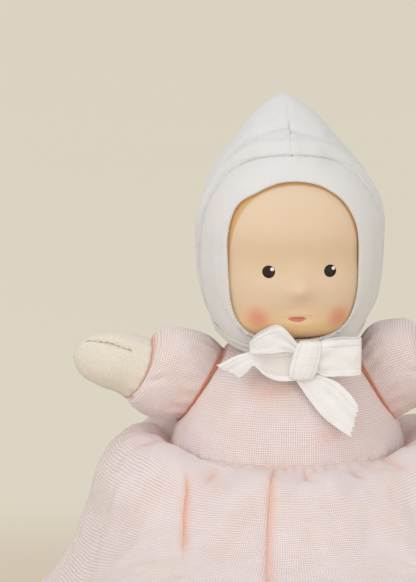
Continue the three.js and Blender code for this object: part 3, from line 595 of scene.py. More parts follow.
@dataclass(frozen=True)
class RubberFinish:
    """Matte moulded rubber with two soft cheek blushes, a painted shadow under the bonnet's edge, and painted
    shade at the brow and low on the face.

    Args:
        name: material name.
        base: colour of the rubber.
        deep: colour of its faint clouding, and of the painted shade band at the brow.
        blush: colour of the cheeks.
        shade: colour of the painted shadow under the edge of the bonnet.
        chin: colour of the painted shade low on the face.
        cheeks: middle of each blush in metres.
        spread: radius of a blush in metres.
        opening: the bonnet's face opening.
    """

    name: str
    base: Colour
    deep: Colour
    blush: Colour
    shade: Colour
    chin: Colour
    cheeks: tuple[Vector, Vector]
    spread: float
    opening: Opening

    def build(self, groups: ClothGroups) -> Material:
        """Make the material from the shared node groups."""
        blank = Blank(self.name)
        n = blank.n
        mottle = blank.mottle(groups, Nap_Scale=900.0, Cloud_Scale=45.0)
        base = n.blend(n.math("MULTIPLY", mottle["Cloud"], 0.35), self.base, self.deep)
        across, up = self._on_opening(n, blank.coords["Object"])
        # Painted shade: a darker band across the brow
        brow = n.math("ABSOLUTE", n.math("SUBTRACT", up, 0.06))
        base = n.blend(n.ramp(brow, 0.42, 0.0, 0.5), base, self.deep)
        # Painted shade: darker and warmer low on the face
        base = n.blend(n.ramp(up, -0.35, -0.95, 0.9), base, self.chin)
        for cheek in self.cheeks:
            apart = n.add("ShaderNodeVectorMath", {"operation": "DISTANCE"})
            n.feed(apart, 0, blank.coords["Object"])
            n.feed(apart, 1, cheek)
            base = n.blend(n.ramp(apart.outputs["Value"], self.spread, 0.0, 0.78), base, self.blush)
        # Painted shadow of the bonnet's edge on the face
        base = n.blend(self._under_band(n, across, up), base, self.shade)
        return blank.finish(
            base, mottle["Nap"], (0.12, 0.15), Roughness=n.line(mottle["Nap"], 0.12, 0.5),
            Specular_IOR_Level=0.3, Subsurface_Weight=0.12, Subsurface_Radius=(0.9, 0.45, 0.25),
            Subsurface_Scale=2.0 * MM,
        )

    def _on_opening(self, n: Nodes, place: Socket) -> tuple[Socket, Socket]:
        """Place across and up in the opening, -1 to 1 at its edges."""
        moved = n.add("ShaderNodeVectorMath", {"operation": "SUBTRACT"})
        n.feed(moved, 0, place)
        n.feed(moved, 1, self.opening.middle * MM)
        turned = n.add("ShaderNodeVectorRotate", {"rotation_type": "Z_AXIS"}, Vector=moved.outputs[0])
        n.feed(turned, "Angle", -self.opening.turn)
        axes = n.add("ShaderNodeSeparateXYZ", Vector=turned.outputs[0])
        across = n.math("DIVIDE", axes.outputs["X"], self.opening.half[0] * MM)
        up = n.math("DIVIDE", axes.outputs["Z"], self.opening.half[1] * MM)
        return across, up

    def _under_band(self, n: Nodes, across: Socket, up: Socket) -> Socket:
        """Mask of the painted shadow strip along the edge of the opening, widest at the upper right of the
        doll.
        """
        above, below = self.opening.square
        power = n.line(n.math("GREATER_THAN", up, 0.0), above - below, below)
        total = n.math("ADD", n.math("POWER", n.math("ABSOLUTE", across), power),
                       n.math("POWER", n.math("ABSOLUTE", up), power))
        inside = n.math("SUBTRACT", 1.0, n.math("POWER", total, n.math("DIVIDE", 1.0, power)))
        corner = n.math("MULTIPLY", n.math("MINIMUM", across, 0.0), n.math("MAXIMUM", up, 0.0))
        width = n.math("MULTIPLY", up, n.line(up, -0.012, 0.036))
        width = n.math("ADD", width, n.line(across, -0.012, 0.05))
        width = n.math("MAXIMUM", n.math("ADD", width, n.math("MULTIPLY", corner, -0.055)), 0.004)
        return n.ramp(inside, width, n.math("MULTIPLY", width, 0.6), 0.9)


@dataclass(frozen=True)
class PaintFinish:
    """Thin paint on the rubber, with a faint speckle."""

    name: str
    base: Colour
    speck: Colour
    roughness: float

    def build(self, groups: ClothGroups) -> Material:
        """Make the material from the shared node groups."""
        blank = Blank(self.name)
        n = blank.n
        mottle = blank.mottle(groups, Nap_Scale=1300.0, Cloud_Scale=700.0)
        share = n.math("MULTIPLY", n.math("SUBTRACT", mottle["Nap"], 0.5), 2.2)
        base = n.blend(share, self.base, self.speck)
        return blank.finish(
            base, mottle["Cloud"], (0.15, 0.1), Roughness=self.roughness, Specular_IOR_Level=0.2,
        )


@dataclass
class Finishes:
    """Every finish of the doll, built once."""

    head: "Head"
    groups: ClothGroups = field(default_factory=ClothGroups)
    cheek_x: tuple[float, float] = (-16.6, 16.7)
    cheek_z: float = -28.2

    def __post_init__(self) -> None:
        """Build the materials."""
        cheeks = tuple(self.head.on_face(x, self.cheek_z, 0.0) * MM for x in self.cheek_x)
        self.muslin = ClothFinish(
            "pink_muslin", thread=colour(0.90, 0.80, 0.822), patch=colour(0.89, 0.772, 0.73),
            gap=colour(0.60, 0.42, 0.36), crease=colour(0.83, 0.46, 0.34), deep=colour(0.52, 0.22, 0.13),
            count=(10.8, 9.0), gap_share=0.75, relief=0.5, through=0.2, fuzz=0.4,
        ).build(self.groups)
        self.jersey = ClothFinish(
            "white_jersey", thread=colour(0.785, 0.785, 0.785), patch=colour(0.76, 0.755, 0.745),
            gap=colour(0.62, 0.60, 0.575), crease=colour(0.55, 0.48, 0.40), deep=colour(0.45, 0.38, 0.30),
            count=(13.0, 16.0), gap_share=0.35, relief=0.22,
        ).build(self.groups)
        self.ribbon = ClothFinish(
            "white_ribbon", thread=colour(0.90, 0.90, 0.90), patch=colour(0.88, 0.875, 0.865),
            gap=colour(0.64, 0.59, 0.53), crease=colour(0.70, 0.61, 0.53), deep=colour(0.55, 0.46, 0.38),
            count=(11.0, 12.0), gap_share=0.16, relief=0.25, through=0.1,
        ).build(self.groups)
        self.velour = NapFinish(
            "cream_velour", tip=colour(0.868, 0.828, 0.758), root=colour(0.72, 0.645, 0.52),
            crease=colour(0.56, 0.34, 0.20),
        ).build(self.groups)
        self.rubber = RubberFinish(
            "natural_rubber", base=colour(0.78, 0.62, 0.465), deep=colour(0.745, 0.54, 0.335),
            blush=colour(0.78, 0.30, 0.195), shade=colour(0.68, 0.40, 0.155), chin=colour(0.85, 0.57, 0.295),
            cheeks=cheeks, spread=7.8 * MM, opening=Opening(),
        ).build(self.groups)
        self.eye = PaintFinish(
            "eye_paint", base=colour(0.02, 0.011, 0.006), speck=colour(0.13, 0.08, 0.045), roughness=0.55,
        ).build(self.groups)
        self.glint = PaintFinish(
            "eye_glint", base=colour(0.86, 0.85, 0.82), speck=colour(0.8, 0.79, 0.76), roughness=0.3,
        ).build(self.groups)
        self.lip = PaintFinish(
            "lip_paint", base=colour(0.62, 0.235, 0.155), speck=colour(0.66, 0.28, 0.195), roughness=0.5,
        ).build(self.groups)
        self.stitch = PaintFinish(
            "brown_thread", base=colour(0.47, 0.32, 0.16), speck=colour(0.58, 0.43, 0.26), roughness=0.8,
        ).build(self.groups)


@dataclass
class Torso:
    """Stuffed body under its bodice, whose form gives half width and half depth by height."""

    waist_z: float = 71.0
    top_z: float = 117.0
    neck_radius: float = 13.6
    seam_gap: float = 0.2
    wall: float = 1.0
    form: Track = Track(
        (0.0, 14.0, 38.0, 71.0, 96.0, 108.0, 117.0),
        ((35.0, 25.0), (46.0, 38.0), (51.0, 45.5), (49.5, 46.0), (42.0, 37.2), (32.3, 29.0), (20.8, 18.9)),
    )

    def point(self, angle: float, height: float, lift: float = 0.0) -> Vector:
        """Point of the body at an angle from the front towards +X."""
        half_width, half_depth = self.form.at(height)
        return Vector((
            (half_width + lift) * math.sin(angle), -(half_depth + lift) * math.cos(angle), height,
        ))

    def bodice(self, name: str, middle: float, finishes: Finishes, arms: "list[Arm]") -> Piece:
        """Front or back of the bodice, from the waist seam to the neck.

        Args:
            name: piece and node name.
            middle: angle of its middle, 0 at the front.
            finishes: the doll's materials.
            arms: arms whose seams crease the cloth.

        Returns:
            The piece.
        """
        rows_flat = 0.9
        edge_width = 0.06
        shade_width = 0.2

        def place(u: float, v: float) -> Vector:
            """Place of a share of the grid, in millimetres."""
            angle = middle + (u - 0.5) * math.pi
            if v > rows_flat:
                inward = (v - rows_flat) / (1.0 - rows_flat)
                edge = self.point(angle, self.top_z)
                flat = math.hypot(edge.x, edge.y)
                radius = flat + (self.neck_radius - flat) * inward
                return Vector((edge.x / flat * radius, edge.y / flat * radius, self.top_z + 0.5 * inward))
            bottom = self.waist_z + self.seam_gap
            height = bottom + (self.top_z - bottom) * v / rows_flat
            at = self.point(angle, height)
            seam = -0.7 * bell(abs(u - 0.5), 0.5, 0.012)
            gathers = 0.45 * math.cos(46.0 * angle) * bell(height, self.waist_z, 4.0)
            neck = 0.4 * math.cos(34.0 * angle) * smoothstep(height, 106.0, 116.0)
            tuck = -0.4 * bell(height, self.waist_z, 1.5)
            slack = 0.55 * ripple(at, 16.0, 3.0) + 0.22 * ripple(at, 6.0, 9.0)
            groove = -1.6 * max(arm.seam_weight(at, edge_width) for arm in arms)
            return self.point(angle, height, seam + gathers + neck + tuck + slack + groove)

        def crease(u: float, v: float) -> float:
            """Strength of the painted shade at a share of the grid."""
            at = place(u, v)
            near = max(arm.seam_weight(at, edge_width) for arm in arms)
            soft = 0.5 * max(arm.seam_weight(at, shade_width) for arm in arms) * bell(at.z, 92.0, 9.0)
            shade = 0.0
            # Painted shadows of the bow and of its left tail on the front
            if at.y < 0.0:
                shade = 0.4 * bell(at.x, -7.5, 11.0) * bell(at.z - 0.12 * at.x, 102.2, 3.8)
                shade += 0.3 * bell(at.x, 15.5, 5.0) * bell(at.z, 83.5, 3.5)
            # Painted shade in the shoulder seams, softly beside them low down, and along the waist seam
            return max(1.6 * near, soft) + 0.2 * bell(at.z, self.waist_z, 1.6) + shade

        piece = mapped_grid(name, (150, 84), place, (150.0, 60.0), crease)
        thicken(piece, self.wall)
        settle(piece, finishes.muslin, "torso", "pink_muslin", name)
        return piece

    def seat(self, finishes: Finishes) -> Piece:
        """Cover of the seat under the skirt, flat where it sits."""
        sole = 0.2

        def place(u: float, v: float) -> Vector:
            """Place of a share of the grid, in millimetres."""
            angle = u * 2.0 * math.pi
            if v < sole:
                edge = self.point(angle, 0.0)
                return Vector((edge.x * v / sole, edge.y * v / sole, 0.0))
            height = (self.waist_z - self.seam_gap) * (v - sole) / (1.0 - sole)
            at = self.point(angle, height)
            slack = 0.4 * ripple(at, 14.0, 5.0) * smoothstep(height, 0.0, 8.0)
            return self.point(angle, height, slack)

        piece = mapped_grid("seat_cover", (120, 50), place, (310.0, 110.0))
        thicken(piece, self.wall)
        settle(piece, finishes.muslin, "torso", "pink_muslin", "seat_cover", "torso_stuffing")
        return piece


@dataclass
class Arm:
    """Set-in sleeve with a mitten hand, swinging at the shoulder seam.

    Its forms give half depth, half height and lift of the middle line by distance along the arm.
    The hinge gives two distances along the arm, where the sleeve leaves the torso and a little past it.
    """

    side: Side
    rise: float = 0.0
    shoulder: Vector = field(default_factory=lambda: Vector((41.7, 0.0, 97.0)))
    tilt: float = math.radians(25.0)
    first: float = -8.0
    wrist: float = 22.0
    slant: float = 3.6
    reach: float = 50.0
    hinge: tuple[float, float] = (-2.0, 9.0)
    seam_run: tuple[float, float] = (-16.0, 8.0)
    seam_ring: float = 1.02
    wall: float = 1.0
    sleeve_form: Track = Track(
        (-8.0, -2.0, 2.5, 7.5, 13.0, 17.7, 20.5, 22.0),
        (
            (15.2, 16.8, 3.0), (17.0, 18.2, 3.2), (18.2, 19.5, 2.3), (18.8, 20.1, 1.4), (18.4, 19.9, 0.7),
            (17.0, 18.7, 0.2), (15.4, 17.2, -0.1), (13.6, 15.4, -0.8),
        ),
    )
    hand_form: Track = Track(
        (17.0, 22.0, 27.5, 32.0, 37.5, 42.0, 46.0, 48.3, 49.6, 50.0),
        (
            (12.2, 13.4, -2.7), (12.2, 13.4, -2.9), (12.0, 13.0, -2.9), (11.8, 12.9, -3.6),
            (10.8, 11.9, -4.7), (9.2, 10.5, -5.6), (6.7, 8.0, -5.9), (4.4, 5.2, -6.2), (2.0, 2.2, -6.7),
            (0.3, 0.3, -6.8),
        ),
    )

    def __post_init__(self) -> None:
        """Work out the turn from the arm's own axes to the frame."""
        self.turn = Matrix.Translation(Vector((self.shoulder.x, 0.0, self.shoulder.z)))
        self.turn = self.turn @ Euler((0.0, -self.tilt, 0.0)).to_matrix().to_4x4()

    @property
    def body(self) -> str:
        """Name of the arm's body."""
        return f"arm_{self.side.word}"

    def outward(self, local: Vector) -> Vector:
        """Point in the frame from the arm's own axes."""
        at = self.turn @ local
        return Vector((at.x * self.side.value, at.y, at.z))

    def inward(self, at: Vector) -> Vector:
        """Point in the arm's own axes from the frame."""
        return self.turn.inverted() @ Vector((at.x * self.side.value, at.y, at.z))

    def girth(self, form: Track, along: float) -> tuple[float, float, float]:
        """Half depth, half height and lift at a distance along, with this arm's own rise."""
        depth, height, lift = form.at(along)
        raised = self.rise * smoothstep(along, -6.0, 8.0) * (1.0 - smoothstep(along, 16.0, 32.0))
        return depth, height, lift + raised

    def seam_weight(self, at: Vector, width: float) -> float:
        """Nearness of a point of the bodice to the shoulder seam, 0 to 1, over a width."""
        local = self.inward(at)
        depth, height, lift = self.girth(self.sleeve_form, local.x)
        ring = math.hypot(local.y / depth, (local.z - lift) / height)
        low, high = self.seam_run
        return bell(ring, self.seam_ring, width) if low < local.x < high else 0.0

    def ring(self, form: Track, along: float, angle: float, swell: float = 0.0) -> Vector:
        """Point on the limb, angle from the front towards the top."""
        depth, height, lift = self.girth(form, along)
        return Vector((
            along, -(depth + swell) * math.cos(angle), lift + (height + swell) * math.sin(angle),
        ))

    def wrist_at(self, angle: float) -> float:
        """Distance along at which the wrist seam crosses an angle, nearer to the body at the front."""
        return self.wrist - self.slant * max(math.cos(angle), 0.0) ** 1.5

    def sleeve(self, finishes: Finishes) -> Piece:
        """Stuffed sleeve, gathered at the shoulder and rolled in at the wrist."""
        roll = 0.93

        def spot(u: float, v: float) -> tuple[float, float]:
            """Angle round the arm and distance along it."""
            angle = 2.0 * math.pi * u - math.pi
            return angle, self.first + (self.wrist_at(angle) - self.first) * min(v / roll, 1.0)

        def swell(angle: float, along: float) -> float:
            """How far the cloth stands off its form."""
            at = self.ring(self.sleeve_form, along, angle)
            end = self.wrist_at(angle)
            rounded = -3.0 * smoothstep(along, end - 3.5, end) ** 2 * max(math.cos(angle), 0.0)
            pucker = 0.25 * math.cos(15.0 * angle) * bell(along, end, 3.0)
            root = 0.5 * math.cos(17.0 * angle + 0.8) * bell(along, 0.0, 5.0)
            lean = angle - math.radians(-8.0) + 0.035 * (along - end + 2.0)
            dimple = -1.3 * bell(along, end - 4.0, 3.0) * bell(lean, 0.0, 0.09)
            dimple *= smoothstep(end - along, 0.5, 2.5)
            slack = 0.7 * ripple(at, 13.0, 4.0 + self.side.value) + 0.25 * ripple(at, 5.0, 11.0)
            return rounded + pucker + root + dimple + slack

        def place(u: float, v: float) -> Vector:
            """Place of a share of the grid, in millimetres."""
            angle, along = spot(u, v)
            at = self.ring(self.sleeve_form, along, angle, swell(angle, along))
            tucked = self.ring(self.hand_form, self.wrist_at(angle), angle, -0.5)
            return self.outward(at.lerp(tucked, max(v - roll, 0.0) / (1.0 - roll)))

        def crease(u: float, v: float) -> float:
            """Strength of the painted shade at a share of the grid."""
            angle, along = spot(u, v)
            # Painted shade in the shoulder seam's groove, on the underside near the shoulder and where the
            # cuff rolls in
            seam = -4.25 - 1.65 * math.sin(angle)
            root = 1.7 - 1.7 * smoothstep(along, seam - 0.2, seam + 1.1)
            underside_shade = 0.26 * (1.0 - smoothstep(along, -3.0, 9.0)) * smoothstep(-math.sin(angle), -0.2, 0.9)
            hem = 0.85 * smoothstep(v, roll - 0.01, roll + 0.04)
            return max(root, underside_shade) + hem

        name = f"sleeve_{self.side.word}"
        piece = mapped_grid(name, (130, 76), place, (112.0, 34.0), crease)
        thicken(piece, self.wall)
        dress(piece, finishes.muslin)
        start, end = (tuple(self.outward(Vector((along, 0.0, 0.0))) * MM) for along in self.hinge)
        self.body
        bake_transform(piece)
        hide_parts(name)
        return piece

    @staticmethod
    def thumb_angle(along: float) -> float:
        """Angle of the thumb line by distance along the arm."""
        return math.radians(36.0 + 0.75 * (along - 27.0))

    def hand(self, finishes: Finishes) -> Piece:
        """Mitten hand with a groove along its thumb line."""
        def groove(angle: float, along: float) -> float:
            """Nearness to the thumb line, 0 to 1."""
            run = smoothstep(along, 26.0, 28.5) * (1.0 - smoothstep(along, 46.5, 48.5))
            return bell(angle, self.thumb_angle(along), 0.08) * run

        def spot(u: float, v: float) -> tuple[float, float]:
            """Angle round the arm and distance along it."""
            angle = 2.0 * math.pi * u - math.pi
            start = self.wrist_at(angle) - 0.6
            return angle, start + (self.reach - start) * v

        def place(u: float, v: float) -> Vector:
            """Place of a share of the grid, in millimetres."""
            angle, along = spot(u, v)
            at = self.ring(self.hand_form, along, angle)
            seam = -0.35 * bell(abs(angle), math.pi / 2.0, 0.05)
            slack = 0.35 * ripple(at, 11.0, 6.0) + 0.12 * ripple(at, 2.4, 3.0)
            pucker = 0.3 * math.cos(13.0 * angle) * bell(along, self.wrist_at(angle), 3.0)
            swell = slack + pucker + seam - 0.9 * groove(angle, along)
            swell *= smoothstep(self.reach - along, 0.0, 3.0)
            return self.outward(self.ring(self.hand_form, along, angle, swell))

        def crease(u: float, v: float) -> float:
            """Strength of the painted shade in the thumb groove and at the wrist seam, at a share of the
            grid.
            """
            angle, along = spot(u, v)
            return min(0.15 * groove(angle, along) + 0.75 * (1.0 - smoothstep(v, 0.03, 0.065)), 1.0)

        name = f"hand_{self.side.word}"
        stuffing = f"arm_stuffing_{self.side.word}"
        piece = mapped_grid(name, (140, 70), place, (82.0, 34.0), crease)
        thicken(piece, self.wall)
        settle(piece, finishes.velour, self.body, "cream_velour", name, stuffing)
        return piece

    def stitches(self, finishes: Finishes) -> Piece:
        """Row of short brown stitches in the thumb groove."""
        first, last, count = 28.0, 47.5, 8
        pitch = (last - first) / count
        thread_radius = 0.21
        sunk = -0.62

        def place(u: float, v: float) -> Vector:
            """Place of a share of the grid, in millimetres."""
            number = min(int(v * count), count - 1)
            share = v * count - number
            along = first + pitch * (number + 0.12 + 0.76 * share)
            radius = thread_radius * math.sqrt(max(math.sin(math.pi * share), 0.0))
            angle = self.thumb_angle(along) + 0.03 * math.sin(5.0 * number)
            at = self.ring(self.hand_form, along, angle, sunk)
            around = 2.0 * math.pi * u
            return self.outward(at + Vector((0.0, radius * math.cos(around), radius * math.sin(around))))

        piece = mapped_grid(f"thumb_stitches_{self.side.word}", (8, 10 * count), place, (2.0, 20.0))
        settle(piece, finishes.stitch, self.body, "cream_velour")
        return piece


@dataclass
class Leg:
    """Stuffed leg lying forward under the skirt, with a velour foot.

    Its form gives half width, half height and lift of the middle line by distance along the leg.
    """

    side: Side
    hip: Vector = field(default_factory=lambda: Vector((22.0, -32.35, 12.0)))
    splay: float = math.radians(11.0)
    ankle: float = 94.0
    reach: float = 126.0
    wall: float = 1.0
    form: Track = Track(
        (0.0, 6.0, 13.0, 32.0, 68.0, 94.0, 97.0, 107.0, 119.0, 124.0, 126.0),
        (
            (14.0, 2.6, 0.0), (15.2, 7.6, 0.8), (16.3, 11.6, 2.0), (17.0, 17.0, 5.0), (16.0, 15.7, 3.7),
            (13.0, 13.0, 1.0), (12.6, 13.2, 1.4), (14.5, 16.7, 7.0), (13.3, 17.4, 7.0), (8.0, 11.0, 7.0),
            (0.5, 0.6, 7.0),
        ),
    )

    @property
    def body(self) -> str:
        """Name of the leg's body."""
        return f"leg_{self.side.word}"

    def ring(self, along: float, angle: float, swell: float = 0.0) -> Vector:
        """Point of the leg in the frame, angle from the inner side towards the top."""
        width, height, lift = self.form.at(along)
        across = (width + swell) * math.cos(angle)
        forward = Vector((math.sin(self.splay), -math.cos(self.splay), 0.0))
        aside = Vector((math.cos(self.splay), math.sin(self.splay), 0.0))
        at = self.hip + forward * along + aside * across
        at.z += lift + (height + swell) * math.sin(angle)
        return Vector((at.x * self.side.value, at.y, max(at.z, 0.05)))

    def cover(self, finishes: Finishes) -> Piece:
        """Muslin leg from the hip seam to the ankle."""
        def place(u: float, v: float) -> Vector:
            """Place of a share of the grid, in millimetres."""
            angle = 2.0 * math.pi * u
            along = 0.4 + (self.ankle - 0.6) * v
            at = self.ring(along, angle)
            pucker = 0.5 * math.cos(15.0 * angle) * bell(along, self.ankle, 5.0)
            slack = 0.6 * ripple(at, 16.0, 7.0) * smoothstep(along, 2.0, 16.0)
            return self.ring(along, angle, pucker + slack - 0.8 * bell(along, self.ankle, 1.6))

        def crease(u: float, v: float) -> float:
            """Strength of the painted shade at the ankle seam, at a share of the grid."""
            return 0.4 * bell(v, 1.0, 0.01)

        name = f"leg_cover_{self.side.word}"
        piece = mapped_grid(name, (72, 80), place, (105.0, 96.0), crease)
        thicken(piece, self.wall)
        settle(piece, finishes.muslin, self.body, "pink_muslin", name)
        return piece

    def foot(self, finishes: Finishes) -> Piece:
        """Velour foot with its toes up."""
        def place(u: float, v: float) -> Vector:
            """Place of a share of the grid, in millimetres."""
            angle = 2.0 * math.pi * u
            along = self.ankle - 0.2 + (self.reach - self.ankle + 0.2) * v
            at = self.ring(along, angle)
            fade = smoothstep(self.reach - along, 0.0, 3.0)
            slack = 0.4 * ripple(at, 12.0, 8.0) * fade
            pucker = 0.3 * math.cos(13.0 * angle) * bell(along, self.ankle, 3.0)
            seam = -0.4 * bell(abs(math.cos(angle)), 0.0, 0.05) * fade
            return self.ring(along, angle, slack + pucker + seam)

        def crease(u: float, v: float) -> float:
            """Strength of the painted shade at the ankle seam, at a share of the grid."""
            return 0.6 * bell(v, 0.0, 0.02)

        name = f"foot_{self.side.word}"
        stuffing = f"leg_stuffing_{self.side.word}"
        piece = mapped_grid(name, (84, 48), place, (95.0, 38.0), crease)
        thicken(piece, self.wall)
        settle(piece, finishes.velour, self.body, "cream_velour", name, stuffing)
        return piece


@dataclass
class Head:
    """Rubber head with painted eyes and mouth, turned a little to the doll's left.

    The neck gives radius and height of its groove by share of its skin.
    """

    middle_z: float = 159.5
    half_width: float = 37.25
    half_depth: float = 36.5
    half_height: float = 38.5
    jaw_height: float = 54.0
    chin_edge: float = 14.0
    fullness: float = 2.3
    turn: float = math.radians(6.0)
    wall: float = 2.4
    eye_x: float = 12.6
    eye_z: float = -8.6
    eye_radius: float = 2.75
    mouth_z: float = -28.5
    neck: Track = Track(
        (0.0, 0.3, 0.45, 0.55, 0.7, 0.8, 1.0),
        (
            (15.6, -37.6), (15.0, -39.0), (15.0, -41.8), (13.0, -42.3), (13.0, -43.9), (17.2, -44.2),
            (17.2, -48.0),
        ),
    )

    def __post_init__(self) -> None:
        """Work out the turn from the head's own axes to the frame."""
        self.matrix = self.turned(self.turn)

    def turned(self, turn: float) -> Matrix:
        """Axes at the head's middle, turned about the upright axis."""
        return Matrix.Translation(Vector((0.0, 0.0, self.middle_z))) @ Matrix.Rotation(turn, 4, "Z")

    def egg(self, d: Vector, widen: float = 0.0, below: float | None = None) -> float:
        """Distance from the middle to the full, squarish egg along a unit direction.

        Args:
            d: unit direction.
            widen: growth of every half size.
            below: half height under the middle of an outer form, which then has no chin.

        Returns:
            The distance in millimetres.
        """
        half_height = self.half_height + widen
        if d.z < 0.0:
            half_height = self.jaw_height if below is None else below
        total = abs(d.x / (self.half_width + widen)) ** self.fullness
        total += abs(d.y / (self.half_depth + widen)) ** self.fullness
        total += abs(d.z / half_height) ** self.fullness
        distance = total ** (-1.0 / self.fullness)
        if d.z < 0.0 and below is None:
            chin = -self.half_height / d.z
            distance = (distance**-self.chin_edge + chin**-self.chin_edge) ** (-1.0 / self.chin_edge)
        return distance

    def relief(self, x: float, z: float) -> float:
        """How far the modelled features stand out of the face at a place across and up."""
        nose = 2.3 * math.exp(-((x / 4.2) ** 2 + ((z + 17.0) / 3.4) ** 2))
        bridge = 0.5 * bell(x, 0.0, 4.0) * bell(z, -11.0, 5.0)
        cheeks = 0.9 * sum(bell(x, s * 15.5, 8.0) * bell(z, -24.5, 7.5) for s in (-1, 1))
        sockets = -0.7 * sum(bell(x, s * self.eye_x, 6.0) * bell(z, self.eye_z, 5.0) for s in (-1, 1))
        smile = self.mouth_z + 0.012 * x * x
        lips = 0.55 * bell(x, 0.0, 5.0) * (bell(z, smile + 1.9, 1.4) + 0.9 * bell(z, smile - 2.0, 1.5))
        part = -0.6 * bell(x, 0.0, 5.2) * bell(z, smile, 0.8)
        jaw = 3.0 * bell(x, 0.0, 21.0) * smoothstep(-z, 24.0, 36.0)
        brow = -1.1 * bell(z, -3.5, 6.5) * bell(x, 0.0, 40.0)
        full = 0.8 * bell(z, -16.0, 7.0) * bell(x, 0.0, 30.0)
        return nose + bridge + cheeks + sockets + lips + part + jaw + brow + full

    def face_depth(self, x: float, z: float) -> float:
        """Depth of the face in front of the middle at a place across and up."""
        half_height = self.half_height if z > 0.0 else self.jaw_height
        left = 1.0 - abs(x / self.half_width) ** self.fullness - abs(z / half_height) ** self.fullness
        return self.half_depth * max(left, 0.0) ** (1.0 / self.fullness) + self.relief(x, z)

    def on_face(self, x: float, z: float, lift: float) -> Vector:
        """Point of the frame on the face, lifted off it."""
        return self.matrix @ Vector((x, -self.face_depth(x, z) - lift, z))

    def skull(self, finishes: Finishes) -> Piece:
        """Head and grooved neck in one rubber skin."""
        neck_share = 0.86
        head_arc = 0.873

        def place(u: float, v: float) -> Vector:
            """Place of a share of the grid, in millimetres."""
            angle = 2.0 * math.pi * u
            if v > neck_share:
                radius, height = self.neck.at((v - neck_share) / (1.0 - neck_share))
                return self.matrix @ Vector((radius * math.sin(angle), -radius * math.cos(angle), height))
            tilt = math.pi * (0.5 - v / neck_share * head_arc)
            d = Vector((math.sin(angle) * math.cos(tilt), -math.cos(angle) * math.cos(tilt), math.sin(tilt)))
            at = d * self.egg(d)
            if at.y < 0.0:
                at.y -= self.relief(at.x, at.z) * smoothstep(-at.y, 2.0, 14.0)
            return self.matrix @ at

        piece = mapped_grid("rubber_head", (220, 170), place)
        thicken(piece, self.wall)
        settle(piece, finishes.rubber, "head", "natural_rubber", "head_shell")
        return piece

    def paint(self, name: str, middle: tuple[float, float], half: tuple[float, float], lift: float,
              material: Material, curl: float = 0.0) -> Piece:
        """Thin lens of paint that follows the face.

        Args:
            name: piece name.
            middle: place across and up from the head's middle.
            half: half width and half height.
            lift: height of the paint over the face at its middle.
            material: its finish.
            curl: upward curve of the ends.

        Returns:
            The piece.
        """
        def place(u: float, v: float) -> Vector:
            """Place of a share of the grid, in millimetres."""
            angle = 2.0 * math.pi * u
            x = half[0] * v * math.cos(angle)
            taper = 0.5 + 0.5 * math.sqrt(max(1.0 - (x / half[0]) ** 2, 0.0)) if curl else 1.0
            z = half[1] * v * math.sin(angle) * taper
            dome = lift * (1.0 - v**4) - 0.1 * v**4
            return self.on_face(middle[0] + x, middle[1] + z + curl * x * x, dome)

        piece = mapped_grid(name, (40, 10), place)
        settle(piece, material, "head", "natural_rubber")
        return piece

    def features(self, finishes: Finishes) -> list[Piece]:
        """Painted eyes with their glints, and the mouth."""
        pieces = []
        for side in Side:
            x = side.value * self.eye_x
            size = (self.eye_radius, self.eye_radius)
            pieces.append(self.paint(f"eye_{side.word}", (x, self.eye_z), size, 0.35, finishes.eye))
            spot = (x + 1.3, self.eye_z + 1.0)
            pieces.append(self.paint(f"eye_glint_{side.word}", spot, (0.95, 0.9), 0.5, finishes.glint))
        pieces.append(self.paint("mouth", (-0.6, self.mouth_z), (4.4, 1.15), 0.14, finishes.lip, 0.018))
        return pieces


